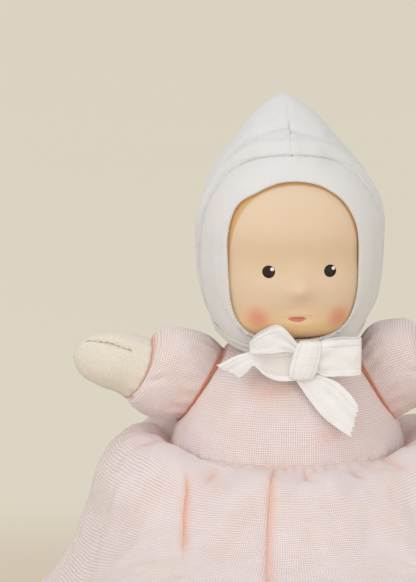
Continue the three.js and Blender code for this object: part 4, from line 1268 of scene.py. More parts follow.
@dataclass
class Bonnet:
    """Pointed jersey bonnet with a front band and a neck binding.

    Its lie says how far the band's inner edge wanders by turn from the top, both in radians.
    Its span is the length of cloth for each radian.
    """

    head: Head
    ease: float = 2.35
    wall: float = 1.6
    band_wall: float = 1.0
    binding_wall: float = 1.2
    below: float = 57.0
    peak: float = 21.7
    peak_lean: float = math.radians(22.0)
    peak_side: float = -0.018
    peak_spread: float = math.radians(26.0)
    peak_reach: float = math.radians(62.0)
    peak_blunt: float = 1.25
    turn: float = math.radians(2.0)
    face: Opening = field(default_factory=Opening)
    band_width: float = 11.2
    binding_height: float = 5.5
    opening_half: float = 10.0
    nape_z: float = -39.5
    lie: Track = Track(
        (-3.2, -2.6, -2.2, -1.9, -1.3, -0.9, -0.55, 0.0, 0.55, 0.8, 1.25, 1.6, 3.2),
        (
            (0.0,), (0.0,), (-0.025,), (-0.015,), (0.015,), (0.028,), (-0.028,), (0.0,), (-0.01,), (0.0,),
            (0.015,), (0.0,), (0.0,),
        ),
    )
    throat_z: float = -46.1
    edge_run: tuple[float, float] = (-31.0, -6.0)
    band_drop: float = 0.86
    span: float = 40.0

    def __post_init__(self) -> None:
        """Work out the bonnet's own turn and sample its face edge, band seam and neck edge."""
        self.matrix = self.head.turned(self.turn)
        self.face_edge = Sampled(lambda turn: self.oval_polar(turn, 0.0), 0.0, math.pi, 180)
        self.band_edge = Sampled(lambda turn: self.oval_polar(turn, self.band_width), 0.0, math.pi, 180)
        self.neck_edge = Sampled(self.last_turn, 0.5, math.pi, 240)

    def radius(self, d: Vector) -> float:
        """Distance from the head's middle to the outside of the bonnet."""
        base = self.head.egg(d, self.ease, self.below)
        tip = Vector((self.peak_side, math.sin(self.peak_lean), math.cos(self.peak_lean))).normalized()
        away = math.acos(min(max(d.dot(tip), -1.0), 1.0))
        fade = math.exp(-((self.peak_reach / self.peak_spread) ** self.peak_blunt))
        rise = max(math.exp(-((away / self.peak_spread) ** self.peak_blunt)) - fade, 0.0) / (1.0 - fade)
        pinch = 1.2 * bell(d.z, 0.84, 0.12) * smoothstep(abs(d.x), 0.2, 0.4)
        pinch += 0.9 * smoothstep(-d.x, 0.55, 0.85)
        lower = 1.5 * smoothstep(-d.z, 0.5, 0.75) * smoothstep(abs(d.x), 0.3, 0.5)
        pinch += lower * smoothstep(d.y, -0.5, -0.2)
        return base + self.peak * rise - pinch

    @staticmethod
    def direction(polar: float, turn: float) -> Vector:
        """Unit direction from the angle off the front and the turn from the top towards +X."""
        return Vector((
            math.sin(polar) * math.sin(turn), -math.cos(polar), math.sin(polar) * math.cos(turn),
        ))

    def oval_polar(self, turn: float, margin: float) -> float:
        """Angle off the front where the face oval, grown by a margin, meets the bonnet."""
        def outside(polar: float) -> float:
            """How far a direction lies outside the oval."""
            at = self.direction(polar, turn)
            at = at * self.radius(at)
            rise = at.z + self.head.middle_z - self.face.middle.z
            square = self.face.square[0 if rise > 0.0 or margin > 0.0 else 1]
            across = abs(at.x / (self.face.half[0] + margin)) ** square
            return across + abs(rise / (self.face.half[1] + self.band_drop * margin)) ** square - 1.0

        nearest, furthest = 0.05, math.radians(88.0)
        return solve(outside, nearest, furthest)

    def edge_z(self, y: float) -> float:
        """Height of the lower edge at a depth."""
        return self.throat_z + (self.nape_z - self.throat_z) * smoothstep(y, *self.edge_run)

    def last_turn(self, polar: float) -> float:
        """Turn from the top at which the cloth reaches the binding."""
        def under(turn: float) -> float:
            """How far a direction lies under the binding's top."""
            at = self.direction(polar, turn)
            at = at * self.radius(at)
            return self.edge_z(at.y) + self.binding_height - 1.0 - at.z

        return solve(under, 0.3, math.pi)

    def placed(self, polar: float, turn: float, lift: float) -> Vector:
        """Point of the frame on the bonnet, lifted off it."""
        d = self.direction(polar, turn)
        return self.matrix @ (d * (self.radius(d) + lift))

    def finish(self, piece: Piece, finishes: Finishes, node: str, flat: tuple[float, float],
               area: float) -> None:
        """Dress one jersey piece, let it ride on the head and hide its CAD node."""
        settle(piece, finishes.jersey, "head", "white_jersey", node)

    def panel(self, side: Side, finishes: Finishes) -> Piece:
        """One half of the crown, from the band seam to the back."""
        def angles(u: float, v: float) -> tuple[float, float]:
            """Angle off the front and turn from the top."""
            def past(polar: float) -> float:
                """How far an angle lies past the row."""
                start = self.band_edge(u * self.neck_edge(polar))
                return polar - start - (math.pi - start) * v

            polar = solve(past, 0.3, math.pi)
            return polar, u * self.neck_edge(polar)

        def lines(polar: float, turn: float) -> tuple[Vector, float, float, float]:
            """Place, distance from the band, share of the crown and distance of its fold."""
            d = self.direction(polar, turn)
            run = (polar - self.band_edge(turn)) * self.span
            upper = 1.0 - smoothstep(turn, 1.2, 1.9)
            middle = 11.0 + 5.0 * bell(turn, 0.0, 0.5) - 1.0 * side.value
            return d * self.radius(d), run, upper, middle

        def place(u: float, v: float) -> Vector:
            """Place of a share of the grid, in millimetres."""
            polar, turn = angles(u, v)
            at, run, upper, middle = lines(polar, turn)
            middle += 1.5 * ripple(at, 22.0, 6.0)
            seam = -0.15 * bell(at.x, 0.0, 0.5) + 0.25 * bell(abs(at.x), 1.8, 1.2)
            fold = (-1.3 * bell(run, middle, 1.8) + 1.2 * bell(run, 6.5, 3.2)) * upper
            hem = 0.35 * (1.0 - smoothstep(run, 0.0, 1.5))
            slack = 0.55 * ripple(at, 18.0, 2.0) + 0.2 * ripple(at, 7.0, 5.0)
            lift = seam + fold + hem + slack * smoothstep(run, 0.5, 4.0)
            return self.placed(polar, turn * side.value, lift)

        def crease(u: float, v: float) -> float:
            """Strength of the painted shade along the centre seam and in the fold, at a share of the grid."""
            at, run, upper, middle = lines(*angles(u, v))
            return 0.04 * bell(at.x, 0.0, 0.4) + 0.07 * bell(run, middle, 1.3) * upper

        name = f"bonnet_panel_{side.word}"
        flat = (110.0, 80.0)
        piece = mapped_grid(name, (150, 90), place, flat, crease)
        thicken(piece, self.wall)
        self.finish(piece, finishes, name, flat, 7400.0)
        return piece

    def band(self, finishes: Finishes) -> Piece:
        """Doubled front band with a rolled inner edge."""
        lip = 0.12
        tucked = 1.07
        stitches = 170.0

        def place(u: float, v: float) -> Vector:
            """Place of a share of the grid, in millimetres."""
            share = (v - lip) / (1.0 - lip) * tucked
            side = 2.0 * u - 1.0

            def past(polar: float) -> float:
                """How far an angle lies past the row."""
                turn = side * self.neck_edge(polar)
                inner = self.face_edge(abs(turn)) + self.lie.at(turn)[0]
                return polar - inner - (self.band_edge(abs(turn)) - inner) * max(share, 0.0)

            polar = solve(past, 0.3, math.pi)
            turn = side * self.neck_edge(polar)
            at = self.direction(polar, turn) * self.span
            puff = 0.9 * math.sqrt(max(math.sin(math.pi * min(max(share, 0.0), 1.0)), 0.0)) - 0.7
            puff -= 0.2 * bell(share, 0.2, 0.03) + 0.8 * smoothstep(share, 0.98, tucked)
            stitch = 0.55 * max(math.sin(2.0 * math.pi * stitches * u), 0.0) * bell(share, 0.0, 0.05)
            slack = 0.3 * ripple(at, 12.0, 7.0)
            at = self.placed(polar + stitch / self.span, turn, puff + slack)
            at.y += 2.6 * smoothstep(-share, 0.0, lip)
            return at

        def crease(u: float, v: float) -> float:
            """Strength of the painted shade at the band's seam and its rolled inner edge, at a share of the
            grid.
            """
            return 0.5 * bell(v, 0.94, 0.03) + 0.5 * bell(v, 0.0, 0.05)

        piece = mapped_grid("bonnet_band", (700, 30), place, (170.0, 13.0), crease)
        thicken(piece, self.band_wall)
        self.finish(piece, finishes, "bonnet_band", (190.0, 26.0), 4700.0)
        return piece

    def slice_radius(self, around: float, z: float) -> float:
        """Distance from the neck axis to the lower bonnet at a height."""
        def outside(radius: float) -> float:
            """How far a radius lies outside the bonnet."""
            at = Vector((radius * math.sin(around), -radius * math.cos(around), z))
            return at.length - self.radius(at.normalized())

        nearest, furthest = 15.0, 50.0
        return solve(outside, nearest, furthest)

    def binding(self, finishes: Finishes) -> Piece:
        """Folded strip along the neck edge, open at the throat."""
        edge_radius = 32.0
        start = math.asin(self.opening_half / (edge_radius - 1.0))

        def place(u: float, v: float) -> Vector:
            """Place of a share of the grid, in millimetres."""
            around = start + (2.0 * math.pi - 2.0 * start) * u
            z = self.edge_z(-edge_radius * math.cos(around)) + self.binding_height * v
            radius = self.slice_radius(around, z)
            rib = 0.35 + 0.55 * abs(math.sin(2.0 * math.pi * v)) ** 0.7 - 0.5 * bell(v, 0.0, 0.08)
            at = Vector((radius * math.sin(around), -radius * math.cos(around), z))
            slack = 0.25 * ripple(at, 7.0, 12.0)
            grow = (radius + rib + slack) / radius
            return self.matrix @ Vector((at.x * grow, at.y * grow, z))

        def crease(u: float, v: float) -> float:
            """Strength of the painted shade along the binding's middle and its top edge, at a share of the
            grid.
            """
            return 0.5 * bell(v, 0.5, 0.05) + 0.4 * bell(v, 1.0, 0.05)

        piece = mapped_grid("bonnet_binding", (220, 16), place, (190.0, 6.0), crease)
        thicken(piece, self.binding_wall)
        self.finish(piece, finishes, "bonnet_binding", (190.0, 12.0), 1150.0)
        return piece


@dataclass
class Bow:
    """Ribbon bow at the throat: knot, two loops, two tails and the ties behind it."""

    knot: Vector = field(default_factory=lambda: Vector((6.2, -37.2, 114.7)))
    knot_half: tuple[float, float, float] = (6.0, 4.2, 8.1)
    lean: float = 0.25
    wall: float = 0.7
    left_loop: Track = Track(
        (0.0, 0.25, 0.6, 1.0), ((3.6, -4.8, 5.8), (8.0, -6.4, 8.2), (15.0, -6.0, 9.1), (22.4, -5.8, 9.1)),
    )
    right_loop: Track = Track(
        (0.0, 0.22, 0.36, 0.55, 0.82, 1.0),
        (
            (3.4, 3.0, 6.4), (8.2, 3.8, 12.3), (11.2, 3.5, 14.2), (14.9, 3.3, 13.2), (20.2, 3.3, 10.2),
            (22.6, 3.6, 7.0),
        ),
    )
    right_tail: Track = Track(
        (0.0, 0.2, 0.4, 0.58, 0.75, 1.0),
        (
            (2.6, 106.2, 3.4, 119.4, -37.0, -36.0), (-5.0, 106.4, -4.0, 117.8, -38.0, -35.4),
            (-10.3, 108.4, -11.0, 117.4, -37.6, -34.8), (-14.8, 112.4, -16.5, 117.3, -36.8, -34.4),
            (-17.4, 110.0, -22.0, 115.9, -36.2, -33.8), (-20.4, 107.0, -29.9, 111.6, -35.0, -33.0),
        ),
    )
    left_tail: Track = Track(
        (0.0, 0.3, 0.6, 0.85, 1.0),
        (
            (2.4, 106.0, 11.4, 108.8, -36.5, -37.5), (8.0, 98.3, 18.6, 106.4, -38.5, -40.0),
            (13.8, 91.8, 23.6, 102.2, -41.5, -42.0), (19.6, 87.6, 26.5, 98.6, -43.8, -42.8),
            (24.3, 84.6, 27.6, 96.4, -44.8, -43.2),
        ),
    )

    def finish(self, piece: Piece, node: str, finishes: Finishes, flat: tuple[float, float]) -> None:
        """Thicken one ribbon piece, dress it, let it ride on the head and hide its CAD node."""
        thicken(piece, self.wall, 0.0)
        settle(piece, finishes.ribbon, "head", "white_jersey", node)

    @staticmethod
    def hem(v: float) -> tuple[float, float]:
        """Thickness added by the turned hems and the line beside them, by share of the width."""
        edge = min(v, 1.0 - v)
        return 0.3 * (1.0 - smoothstep(edge, 0.13, 0.18)), 0.3 * bell(edge, 0.17, 0.02)

    def centre(self, finishes: Finishes) -> Piece:
        """Knot: a ribbon wrapped once round, with a hem line and a fold."""
        def rounded(value: float) -> float:
            """Sine or cosine drawn towards a square."""
            return math.copysign(abs(value) ** 0.62, value)

        left_fold, right_fold = 0.62, -0.75

        def place(u: float, v: float) -> Vector:
            """Place of a share of the grid, in millimetres."""
            angle = 2.0 * math.pi * (u - 0.5)
            tilt = math.pi * (v - 0.5)
            girth = abs(math.cos(tilt)) ** 0.4
            pleat = 1.0 + 0.04 * math.cos(7.0 * angle + 1.1) * math.cos(tilt)
            pleat -= 0.10 * bell(angle, left_fold, 0.09) + 0.12 * bell(angle, right_fold, 0.12)
            half = self.knot_half
            at = Vector((
                rounded(math.sin(angle)) * girth * half[0] * pleat,
                -rounded(math.cos(angle)) * girth * half[1] * pleat,
                rounded(math.sin(tilt)) * half[2],
            ))
            at.x += self.lean * at.z
            at.y += 0.3 * ripple(at, 5.0, 2.1)
            return self.knot + at

        def crease(u: float, v: float) -> float:
            """Strength of the painted shade in the knot's folds and where it turns under at its ends, at a
            share of the grid.
            """
            angle = 2.0 * math.pi * (u - 0.5)
            ends = 0.3 * smoothstep(abs(v - 0.5), 0.36, 0.5)
            return 0.3 * bell(angle, left_fold, 0.05) + 0.25 * bell(angle, right_fold, 0.08) + ends

        piece = mapped_grid("bow_knot", (96, 48), place, (34.0, 16.0), crease)
        settle(piece, finishes.ribbon, "head", "white_jersey", "bow_knot")
        return piece

    def loop(self, name: str, root: tuple[float, float], path: Track, finishes: Finishes,
             flat: tuple[float, float]) -> Piece:
        """Ribbon loop from the knot out and back.

        Args:
            name: piece and node name.
            root: sign of X and the bulge of the loop in depth.
            path: distance out, height of the lower and upper edge, by share of the loop's length.
            finishes: the doll's materials.
            flat: ribbon length and width in millimetres.

        Returns:
            The piece.
        """
        sign, bulge = root

        def out_share(u: float) -> float:
            """Share of the loop's reach, 0 at the knot."""
            return 1.0 - abs(2.0 * u - 1.0) ** 1.15

        def wave(v: float) -> float:
            """Phase of the gathers at the knot."""
            return 13.0 * v + 0.8

        def place(u: float, v: float) -> Vector:
            """Place of a share of the grid, in millimetres."""
            share = out_share(u)
            out, low, high = path.at(share)
            front = -1.0 if u < 0.5 else 1.0
            opened = bulge * math.sin(math.pi * share**0.8 * 0.5) * math.sqrt(max(1.0 - share**6, 0.0))
            pleat = 0.6 * math.sin(wave(v)) * (1.0 - smoothstep(share, 0.1, 0.5))
            at = Vector((sign * out, front * (0.7 + opened + self.hem(v)[0]) + pleat, low + (high - low) * v))
            at.y += 0.6 * ripple(at, 7.0, 3.3) + 0.35 * ripple(at, 3.6, 7.7)
            return self.knot + at

        def crease(u: float, v: float) -> float:
            """Strength of the darker line beside the hems and of the painted shade in the gathers at the
            knot, at a share of the grid.
            """
            gathered = 1.0 - smoothstep(out_share(u), 0.05, 0.4)
            lines = 0.5 + 0.5 * math.cos(wave(v) + math.pi)
            return min(self.hem(v)[1] + 0.2 * gathered * lines, 1.0)

        piece = mapped_grid(name, (84, 44), place, flat, crease)
        self.finish(piece, name, finishes, flat)
        return piece

    def tail(self, name: str, spine: Track, finishes: Finishes, flat: tuple[float, float],
             thin: float = 0.0) -> Piece:
        """Ribbon tail along a spine.

        Args:
            name: piece and node name.
            spine: lower edge x, z and upper edge x, z, then depth of each edge, by share of length.
            finishes: the doll's materials.
            flat: ribbon length and width in millimetres.
            thin: strength of the painted tint near the knot for the cloth behind seen through the single
                layer.

        Returns:
            The piece.
        """
        def place(u: float, v: float) -> Vector:
            """Place of a share of the grid, in millimetres."""
            low_x, low_z, high_x, high_z, low_y, high_y = spine.at(u)
            ragged = 0.3 * math.sin(37.0 * v) * smoothstep(u, 0.95, 1.0)
            at = Vector((
                low_x + (high_x - low_x) * v + ragged,
                low_y + (high_y - low_y) * v - 0.9 * math.sin(math.pi * v) * math.sin(math.pi * u),
                low_z + (high_z - low_z) * v - ragged,
            ))
            valley = 0.6 * bell(v, 0.55, 0.12) * smoothstep(u, 0.15, 0.4)
            at.y += 0.6 * ripple(at, 8.0, 6.1) + 0.3 * ripple(at, 3.8, 1.9) + valley - self.hem(v)[0]
            return at

        def crease(u: float, v: float) -> float:
            """Strength of the darker line beside the hems, of the painted shade in the middle valley and of
            the painted see-through tint near the knot, at a share of the grid.
            """
            middle = 0.12 * bell(v, 0.55, 0.1) * smoothstep(u, 0.15, 0.4)
            # Painted tint for the cloth behind seen through the single layer
            layer = thin * (1.0 - smoothstep(u, 0.35, 0.6)) * smoothstep(min(v, 1.0 - v), 0.14, 0.18)
            return min(self.hem(v)[1] + middle + layer, 1.0)

        piece = mapped_grid(name, (90, 44), place, flat, crease)
        self.finish(piece, name, finishes, flat)
        return piece

    def build(self, finishes: Finishes) -> list[Piece]:
        """Make the whole bow."""
        return [
            self.centre(finishes),
            self.loop("bow_loop_left", (1.0, 2.3), self.left_loop, finishes, (40.0, 15.0)),
            self.loop("bow_loop_right", (-1.0, 2.2), self.right_loop, finishes, (42.0, 10.0)),
            self.tail("bow_tail_right", self.right_tail, finishes, (33.0, 10.5), 0.4),
            self.tail("bow_tail_left", self.left_tail, finishes, (29.0, 12.5)),
            *self.ties(finishes),
        ]

    def ties(self, finishes: Finishes) -> list[Piece]:
        """Short ribbons from the binding to the back of the knot."""
        width = 4.6
        pieces = []
        for side in Side:
            far = Vector((3.0 + side.value * 9.6, -30.6, 114.6))
            near = Vector((6.3 + side.value * 1.0, -33.6, 114.6))

            def place(u: float, v: float, far: Vector = far, near: Vector = near) -> Vector:
                """Place of a share of the grid, in millimetres."""
                at = far.lerp(near, u)
                at.z += (v - 0.5) * width
                at.y -= 0.5 * math.sin(math.pi * v)
                return at

            name = f"bonnet_tie_{side.word}"
            piece = mapped_grid(name, (20, 10), place, (12.0, 5.0))
            thicken(piece, self.wall, 0.0)
            settle(piece, finishes.ribbon, "head", "white_jersey", name)
            pieces.append(piece)
        return pieces


@dataclass(frozen=True)
class Fold:
    """One crease of the gathered skirt.

    Args:
        top: degrees from the front towards the doll's left, at the waist.
        foot: the same at the hem.
        depth: depth in millimetres.
        start: share of the skirt's length where it starts.
        end: share where it has faded.
        lapped: a pleat with one hard edge, towards the doll's right.
        sway: degrees that it bows halfway down.
        tint: strength of a lapped pleat's painted shade.
    """

    top: float
    foot: float
    depth: float
    start: float = 0.0
    end: float = 0.9
    lapped: bool = False
    sway: float = 0.0
    tint: float = 1.0

    def angle(self, share: float) -> float:
        """Radians from the front at a share of the length."""
        return math.radians(self.top + (self.foot - self.top) * share + self.sway * math.sin(math.pi * share))

    def apart(self, angle: float, share: float) -> float:
        """Radians from the crease at a share of the length."""
        apart = angle - self.angle(share)
        return math.atan2(math.sin(apart), math.cos(apart))

    def dip(self, apart: float) -> tuple[float, float]:
        """Depth and painted shade of the crease, 0 to 1, by angle from it."""
        if self.lapped:
            far = max(apart, 0.0)
            near = max(-apart, 0.0)
            return math.exp(-far / 0.085 - near / 0.016), math.exp(-((far / 0.034) ** 2) - near / 0.01)
        far = abs(apart)
        return 0.6 * math.exp(-far / 0.05) + 0.4 * math.exp(-((far / 0.15) ** 2)), math.exp(-far / 0.02)


@dataclass
class Skirt:
    """Gathered muslin skirt that falls over the lap and the floor."""

    waist_half: tuple[float, float] = (49.5, 46.0)
    wall: float = 0.8
    puff: float = 2.2
    flat: tuple[float, float] = (580.0, 105.0)
    lap_near: float = math.radians(30.0)
    lap_far: float = math.radians(66.0)
    side_profile: Track = Track(
        SKIRT_ROWS,
        (
            (-1.2, 71.8), (0.6, 71.0), (8.0, 75.4), (17.0, 75.0), (28.6, 61.0), (32.8, 46.0), (39.6, 28.0),
            (49.6, 11.0), (57.6, 1.4),
        ),
    )
    lap_profile: Track = Track(
        SKIRT_ROWS,
        (
            (-1.2, 72.4), (0.7, 71.0), (6.0, 70.4), (14.0, 66.8), (25.0, 56.0), (38.0, 46.5), (54.0, 41.0),
            (67.0, 39.0), (78.0, 37.0),
        ),
    )
    pleats: tuple[Fold, Fold] = (
        Fold(-52.5, -13.0, 2.0, 0.31, 0.7, True), Fold(-7.9, -3.6, 2.0, -0.1, 1.4, True, -1.6, 0.8),
    )
    pleat_columns: tuple[float, float] = (0.36, 0.52)
    fold_reach: float = 0.8
    hem_z: float = 0.9
    folds: tuple[Fold, ...] = (
        Fold(-172, -170, 5.0), Fold(-150, -152, 5.5), Fold(-130, -129, 4.5), Fold(-109, -111, 5.0),
        Fold(-88, -90, 2.4, 0.0, 0.35), Fold(-69, -64, 2.6, 0.0, 0.35), Fold(-33.4, -31, 3.4, 0.16, 0.34),
        Fold(-22, -20, 1.5, 0.0, 0.12), Fold(6.3, 6.0, 3.0, 0.04, 0.28), Fold(17, 16, 1.5, 0.0, 0.12),
        Fold(29, 26, 2.2, 0.0, 0.3), Fold(47, 43, 2.4, 0.0, 0.35), Fold(66, 63, 2.8, 0.0, 0.45),
        Fold(84, 82, 3.4, 0.0, 0.6), Fold(104, 102, 4.6), Fold(126, 124, 5.5), Fold(147, 146, 4.5),
        Fold(165, 166, 5.5),
    )

    def angle(self, u: float, v: float) -> float:
        """Angle of a column of the grid, two of which run along the pleats.

        Args:
            u: share round the skirt.
            v: share of its length.

        Returns:
            Radians from the front, with columns closer together beside a pleat.
        """
        first, second = self.pleat_columns
        marks = (0.0, first, second, 1.0)
        turns = [-math.pi]
        for pleat in self.pleats:
            turns.append(pleat.angle(v))
        turns.append(math.pi)
        span = 0 if u < first else 1 if u < second else 2
        share = (u - marks[span]) / (marks[span + 1] - marks[span])
        if span == 0:
            share = 1.0 - (1.0 - share) * (0.35 + 0.65 * (1.0 - share))
        elif span == 2:
            share *= 0.35 + 0.65 * share
        else:
            share -= 0.1 * math.sin(2.0 * math.pi * share)
        return turns[span] + (turns[span + 1] - turns[span]) * share

    def gather(self, angle: float, share: float) -> tuple[float, float]:
        """Height of the gathers and strength of the painted shade in the creases.

        Args:
            angle: radians from the front.
            share: share of the length from the waist.

        Returns:
            The height in millimetres and a painted crease shade strength from 0 to 1.
        """
        rise = smoothstep(share, 0.015, 0.12)
        height = self.puff * rise * (1.0 - 0.6 * self.lap(angle))
        strength = 0.0
        for fold in self.pleats + self.folds:
            apart = fold.apart(angle, share)
            if abs(apart) > self.fold_reach:
                continue
            run = smoothstep(share, fold.start - 0.06, fold.start + 0.04)
            run *= 1.0 - smoothstep(share, fold.end * 0.7, fold.end)
            dip, mark = fold.dip(apart)
            height -= fold.depth * dip * run * rise
            tint = fold.tint if fold.lapped else min(fold.depth / 4.0, 1.0)
            strength = max(strength, mark * run * rise * tint)
        return height, strength

    def lap(self, angle: float) -> float:
        """How far an angle lies over the lap, 1 at the front and 0 at the sides."""
        return 1.0 - smoothstep(abs(angle), self.lap_near, self.lap_far)

    def point(self, angle: float, share: float, lift: float = 0.0) -> Vector:
        """Point of the skirt, angle from the front and share of its length."""
        lap = self.lap(angle)
        step = 0.004
        here = self._profile(share, lap)
        ahead = self._profile(min(share + step, 1.0), lap)
        behind = self._profile(max(share - step, 0.0), lap)
        slope = Vector((ahead[0] - behind[0], ahead[1] - behind[1])).normalized()
        raised = lift + self.gather(angle, share)[0]
        run = here[0] - slope.y * raised
        sine, cosine = math.sin(angle), math.cos(angle)
        return Vector((
            (self.waist_half[0] + run) * sine,
            -(self.waist_half[1] + run) * cosine,
            max(here[1] + slope.x * raised, self.hem_z),
        ))

    def _profile(self, share: float, lap: float) -> tuple[float, float]:
        """Outward run and height, between the side and the lap."""
        side = self.side_profile.at(share)
        front = self.lap_profile.at(share)
        return side[0] + (front[0] - side[0]) * lap, side[1] + (front[1] - side[1]) * lap

    def build(self, finishes: Finishes) -> Piece:
        """Make the skirt."""
        def place(u: float, v: float) -> Vector:
            """Place of a share of the grid, in millimetres."""
            angle = self.angle(u, v)
            at = self.point(angle, v)
            pucker = 0.4 * math.cos(64.0 * angle + 3.0 * math.sin(5.0 * angle)) * bell(v, 0.04, 0.05)
            along = Vector((at.x * 1.5, at.y * 1.5, at.z * 0.6))
            slack = 0.9 * ripple(along, 17.0, 1.7) + 0.7 * ripple(along, 8.0, 8.2)
            slack += 0.25 * ripple(at, 3.2, 4.4)
            return self.point(angle, v, pucker + slack * smoothstep(v, 0.02, 0.14))

        def crease(u: float, v: float) -> float:
            """Strength of the painted shade at a share of the grid."""
            angle = self.angle(u, v)
            # Painted shade along the waist seam, in the notch beside each arm and at a small tuck at the
            # front
            waist = (0.65 - 0.5 * self.lap(angle)) * bell(v, 0.01, 0.025)
            beside = bell(abs(angle), math.radians(84.0), math.radians(16.0))
            notch = 0.55 * beside * (1.0 - smoothstep(v, 0.02, 0.13))
            tuck = 0.5 * bell(v, 0.03, 0.014) * bell(angle, math.radians(-4.0), math.radians(7.0))
            return min(0.9 * self.gather(angle, v)[1] + max(waist, notch) + tuck, 1.0)

        def drape(u: float, v: float) -> tuple[float, float]:
            """Shares of the cloth round and along."""
            return self.angle(u, v) / (2.0 * math.pi), v

        piece = mapped_grid("skirt", (480, 100), place, self.flat, crease, drape=drape)
        thicken(piece, self.wall, 0.0)
        settle(piece, finishes.muslin, "torso", "pink_muslin", "skirt")
        return piece


@dataclass(frozen=True)
class Lamp:
    """Square area lamp that faces the doll.

    Args:
        name: lamp name.
        at: its place.
        size: length of a side.
        power: power in watts.
        tint: its colour.
    """

    name: str
    at: tuple[float, float, float]
    size: float
    power: float
    tint: Colour

    def build(self, aim: Vector) -> None:
        """Add the lamp, turned to a point."""
        data = bpy.data.lights.new(self.name, "AREA")
        data.shape = "SQUARE"
        data.size = self.size * MM
        data.energy = self.power
        data.color = self.tint[:3]
        lamp = bpy.data.objects.new(self.name, data)
        bpy.context.collection.objects.link(lamp)
        lamp.location = Vector(self.at) * MM
        lamp.rotation_euler = (aim - Vector(self.at)).to_track_quat("-Z", "Y").to_euler()


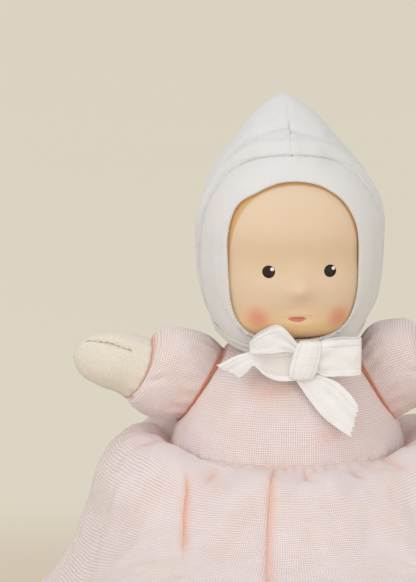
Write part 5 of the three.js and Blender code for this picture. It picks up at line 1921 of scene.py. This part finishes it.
@dataclass
class Studio:
    """Camera, plain pale floor and soft light."""

    target: Vector = field(default_factory=lambda: Vector((-33.6, 0.0, 136.8)))
    pitch: float = math.radians(10.0)
    distance: float = 1100.0
    focal_pixels: float = 2619.0
    frame_pixels: int = 416
    sensor: float = 36.0
    clip_end: float = 20.0
    floor_radius: float = 8000.0
    floor_sides: int = 96
    floor_fade: tuple[float, float] = (30.0, 200.0)
    backdrop: Colour = colour(0.75, 0.69, 0.57)
    backdrop_cloud: Colour = colour(0.735, 0.675, 0.555)
    floor_near_shadow: Colour = colour(0.655, 0.565, 0.45)
    surround: Colour = colour(1.0, 0.99, 0.975)
    surround_strength: float = 0.64
    lit: Vector = field(default_factory=lambda: Vector((0.0, 0.0, 110.0)))
    lamps: tuple[Lamp, ...] = (
        Lamp("key", (-900.0, -900.0, 800.0), 1000.0, 5.2, colour(0.99, 1.0, 1.0)),
        Lamp("fill", (550.0, -1150.0, 180.0), 1000.0, 5.0, colour(1.0, 0.97, 0.93)),
        Lamp("top", (-250.0, -350.0, 1350.0), 1200.0, 2.5, colour(0.94, 0.97, 1.0)),
    )

    def camera(self) -> None:
        """Place the camera as the photograph's."""
        data = bpy.data.cameras.new("camera")
        data.sensor_fit = "HORIZONTAL"
        data.sensor_width = self.sensor
        data.lens = self.sensor * self.focal_pixels / self.frame_pixels
        data.clip_end = self.clip_end
        camera = bpy.data.objects.new("camera", data)
        bpy.context.collection.objects.link(camera)
        back = Vector((0.0, -math.cos(self.pitch), math.sin(self.pitch))) * self.distance
        camera.location = (self.target + back) * MM
        camera.rotation_euler = (math.pi / 2.0 - self.pitch, 0.0, 0.0)
        bpy.context.scene.camera = camera

    def floor(self) -> None:
        """Wide plain floor that fills the picture behind the doll, painted darker near the doll as its
        shadow.
        """
        bpy.ops.mesh.primitive_circle_add(
            vertices=self.floor_sides, radius=self.floor_radius * MM, fill_type="NGON",
        )
        floor = bpy.context.object
        floor.name = "floor"
        blank = Blank("pale_floor")
        n = blank.n
        place = blank.coords["Object"]
        cloud = n.add("ShaderNodeTexNoise", Vector=place, Scale=1.2, Detail=2.0)
        axes = n.add("ShaderNodeSeparateXYZ", Vector=place)
        near = n.add("ShaderNodeMapRange", {"interpolation_type": "SMOOTHSTEP"}, Value=axes.outputs["Y"])
        n.feed(near, "From Min", self.floor_fade[0] * MM)
        n.feed(near, "From Max", self.floor_fade[1] * MM)
        base = n.blend(cloud.outputs["Fac"], self.backdrop, self.backdrop_cloud)
        # Painted shadow: the floor is darker near the doll
        base = n.blend(near.outputs["Result"], self.floor_near_shadow, base)
        n.feed(blank.shader, "Base Color", base)
        n.feed(blank.shader, "Roughness", 0.9)
        glow = n.add("ShaderNodeEmission", Color=base)
        share = n.line(self._seen(n), 0.35, 0.5)
        self._mixed(n, "Material Output", share, blank.shader, glow)
        dress(floor, blank.material)

    @staticmethod
    def _mixed(n: Nodes, sink: str, share: Socket, first: bpy.types.Node, second: bpy.types.Node) -> None:
        """Mix the first outputs of two shaders by a share and feed the tree's output."""
        mixed = n.add("ShaderNodeMixShader")
        n.feed(mixed, 0, share)
        n.feed(mixed, 1, first.outputs[0])
        n.feed(mixed, 2, second.outputs[0])
        n.feed(n.tree.nodes[sink], "Surface", mixed.outputs["Shader"])

    @staticmethod
    def _seen(n: Nodes) -> Socket:
        """1 where a surface is seen straight or mirrored, and 0 where it only lights the doll."""
        rays = n.add("ShaderNodeLightPath")
        seen = n.math("MAXIMUM", rays.outputs["Is Camera Ray"], rays.outputs["Is Glossy Ray"])
        return n.math("MAXIMUM", seen, rays.outputs["Is Transmission Ray"])

    def lights(self) -> None:
        """Soft key, fill and top lamps, and a pale surround that shows the floor's colour."""
        world = bpy.data.worlds.new("surround")
        bpy.context.scene.world = world
        world.use_nodes = True
        n = Nodes(world.node_tree)
        background = world.node_tree.nodes["Background"]
        n.feed(background, "Color", self.surround)
        n.feed(background, "Strength", self.surround_strength)
        shown = n.add("ShaderNodeBackground", Color=self.backdrop, Strength=1.0)
        self._mixed(n, "World Output", self._seen(n), background, shown)
        for lamp in self.lamps:
            lamp.build(self.lit)
        bpy.context.scene.view_settings.view_transform = "Standard"


def dress_cord(finishes: Finishes) -> None:
    """Give the neck cord, which stays a CAD node, its finish."""
    dress(bpy.data.objects["neck_cord"], finishes.jersey)


def main() -> None:
    """Build the doll around the frame."""
    logging.basicConfig(level=logging.INFO, format="%(name)s: %(message)s")
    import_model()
    studio = Studio()
    studio.camera()
    studio.floor()
    studio.lights()
    head = Head()
    finishes = Finishes(head)
    arms = [Arm(Side.LEFT, rise=4.0), Arm(Side.RIGHT)]
    legs = [Leg(side) for side in Side]
    torso = Torso()
    bonnet = Bonnet(head)
    pieces = [
        torso.bodice("bodice_front", 0.0, finishes, arms),
        torso.bodice("bodice_back", math.pi, finishes, arms),
        torso.seat(finishes),
        head.skull(finishes),
        *head.features(finishes),
        bonnet.panel(Side.LEFT, finishes),
        bonnet.panel(Side.RIGHT, finishes),
        bonnet.band(finishes),
        bonnet.binding(finishes),
        *Bow().build(finishes),
        Skirt().build(finishes),
    ]
    for arm in arms:
        pieces += [arm.sleeve(finishes), arm.hand(finishes), arm.stitches(finishes)]
    for leg in legs:
        pieces += [leg.cover(finishes), leg.foot(finishes)]
    dress_cord(finishes)
    for piece in pieces:
        LOG.info("%s: %d faces", piece.name, len(piece.data.polygons))


if __name__ == "__main__":
    main()
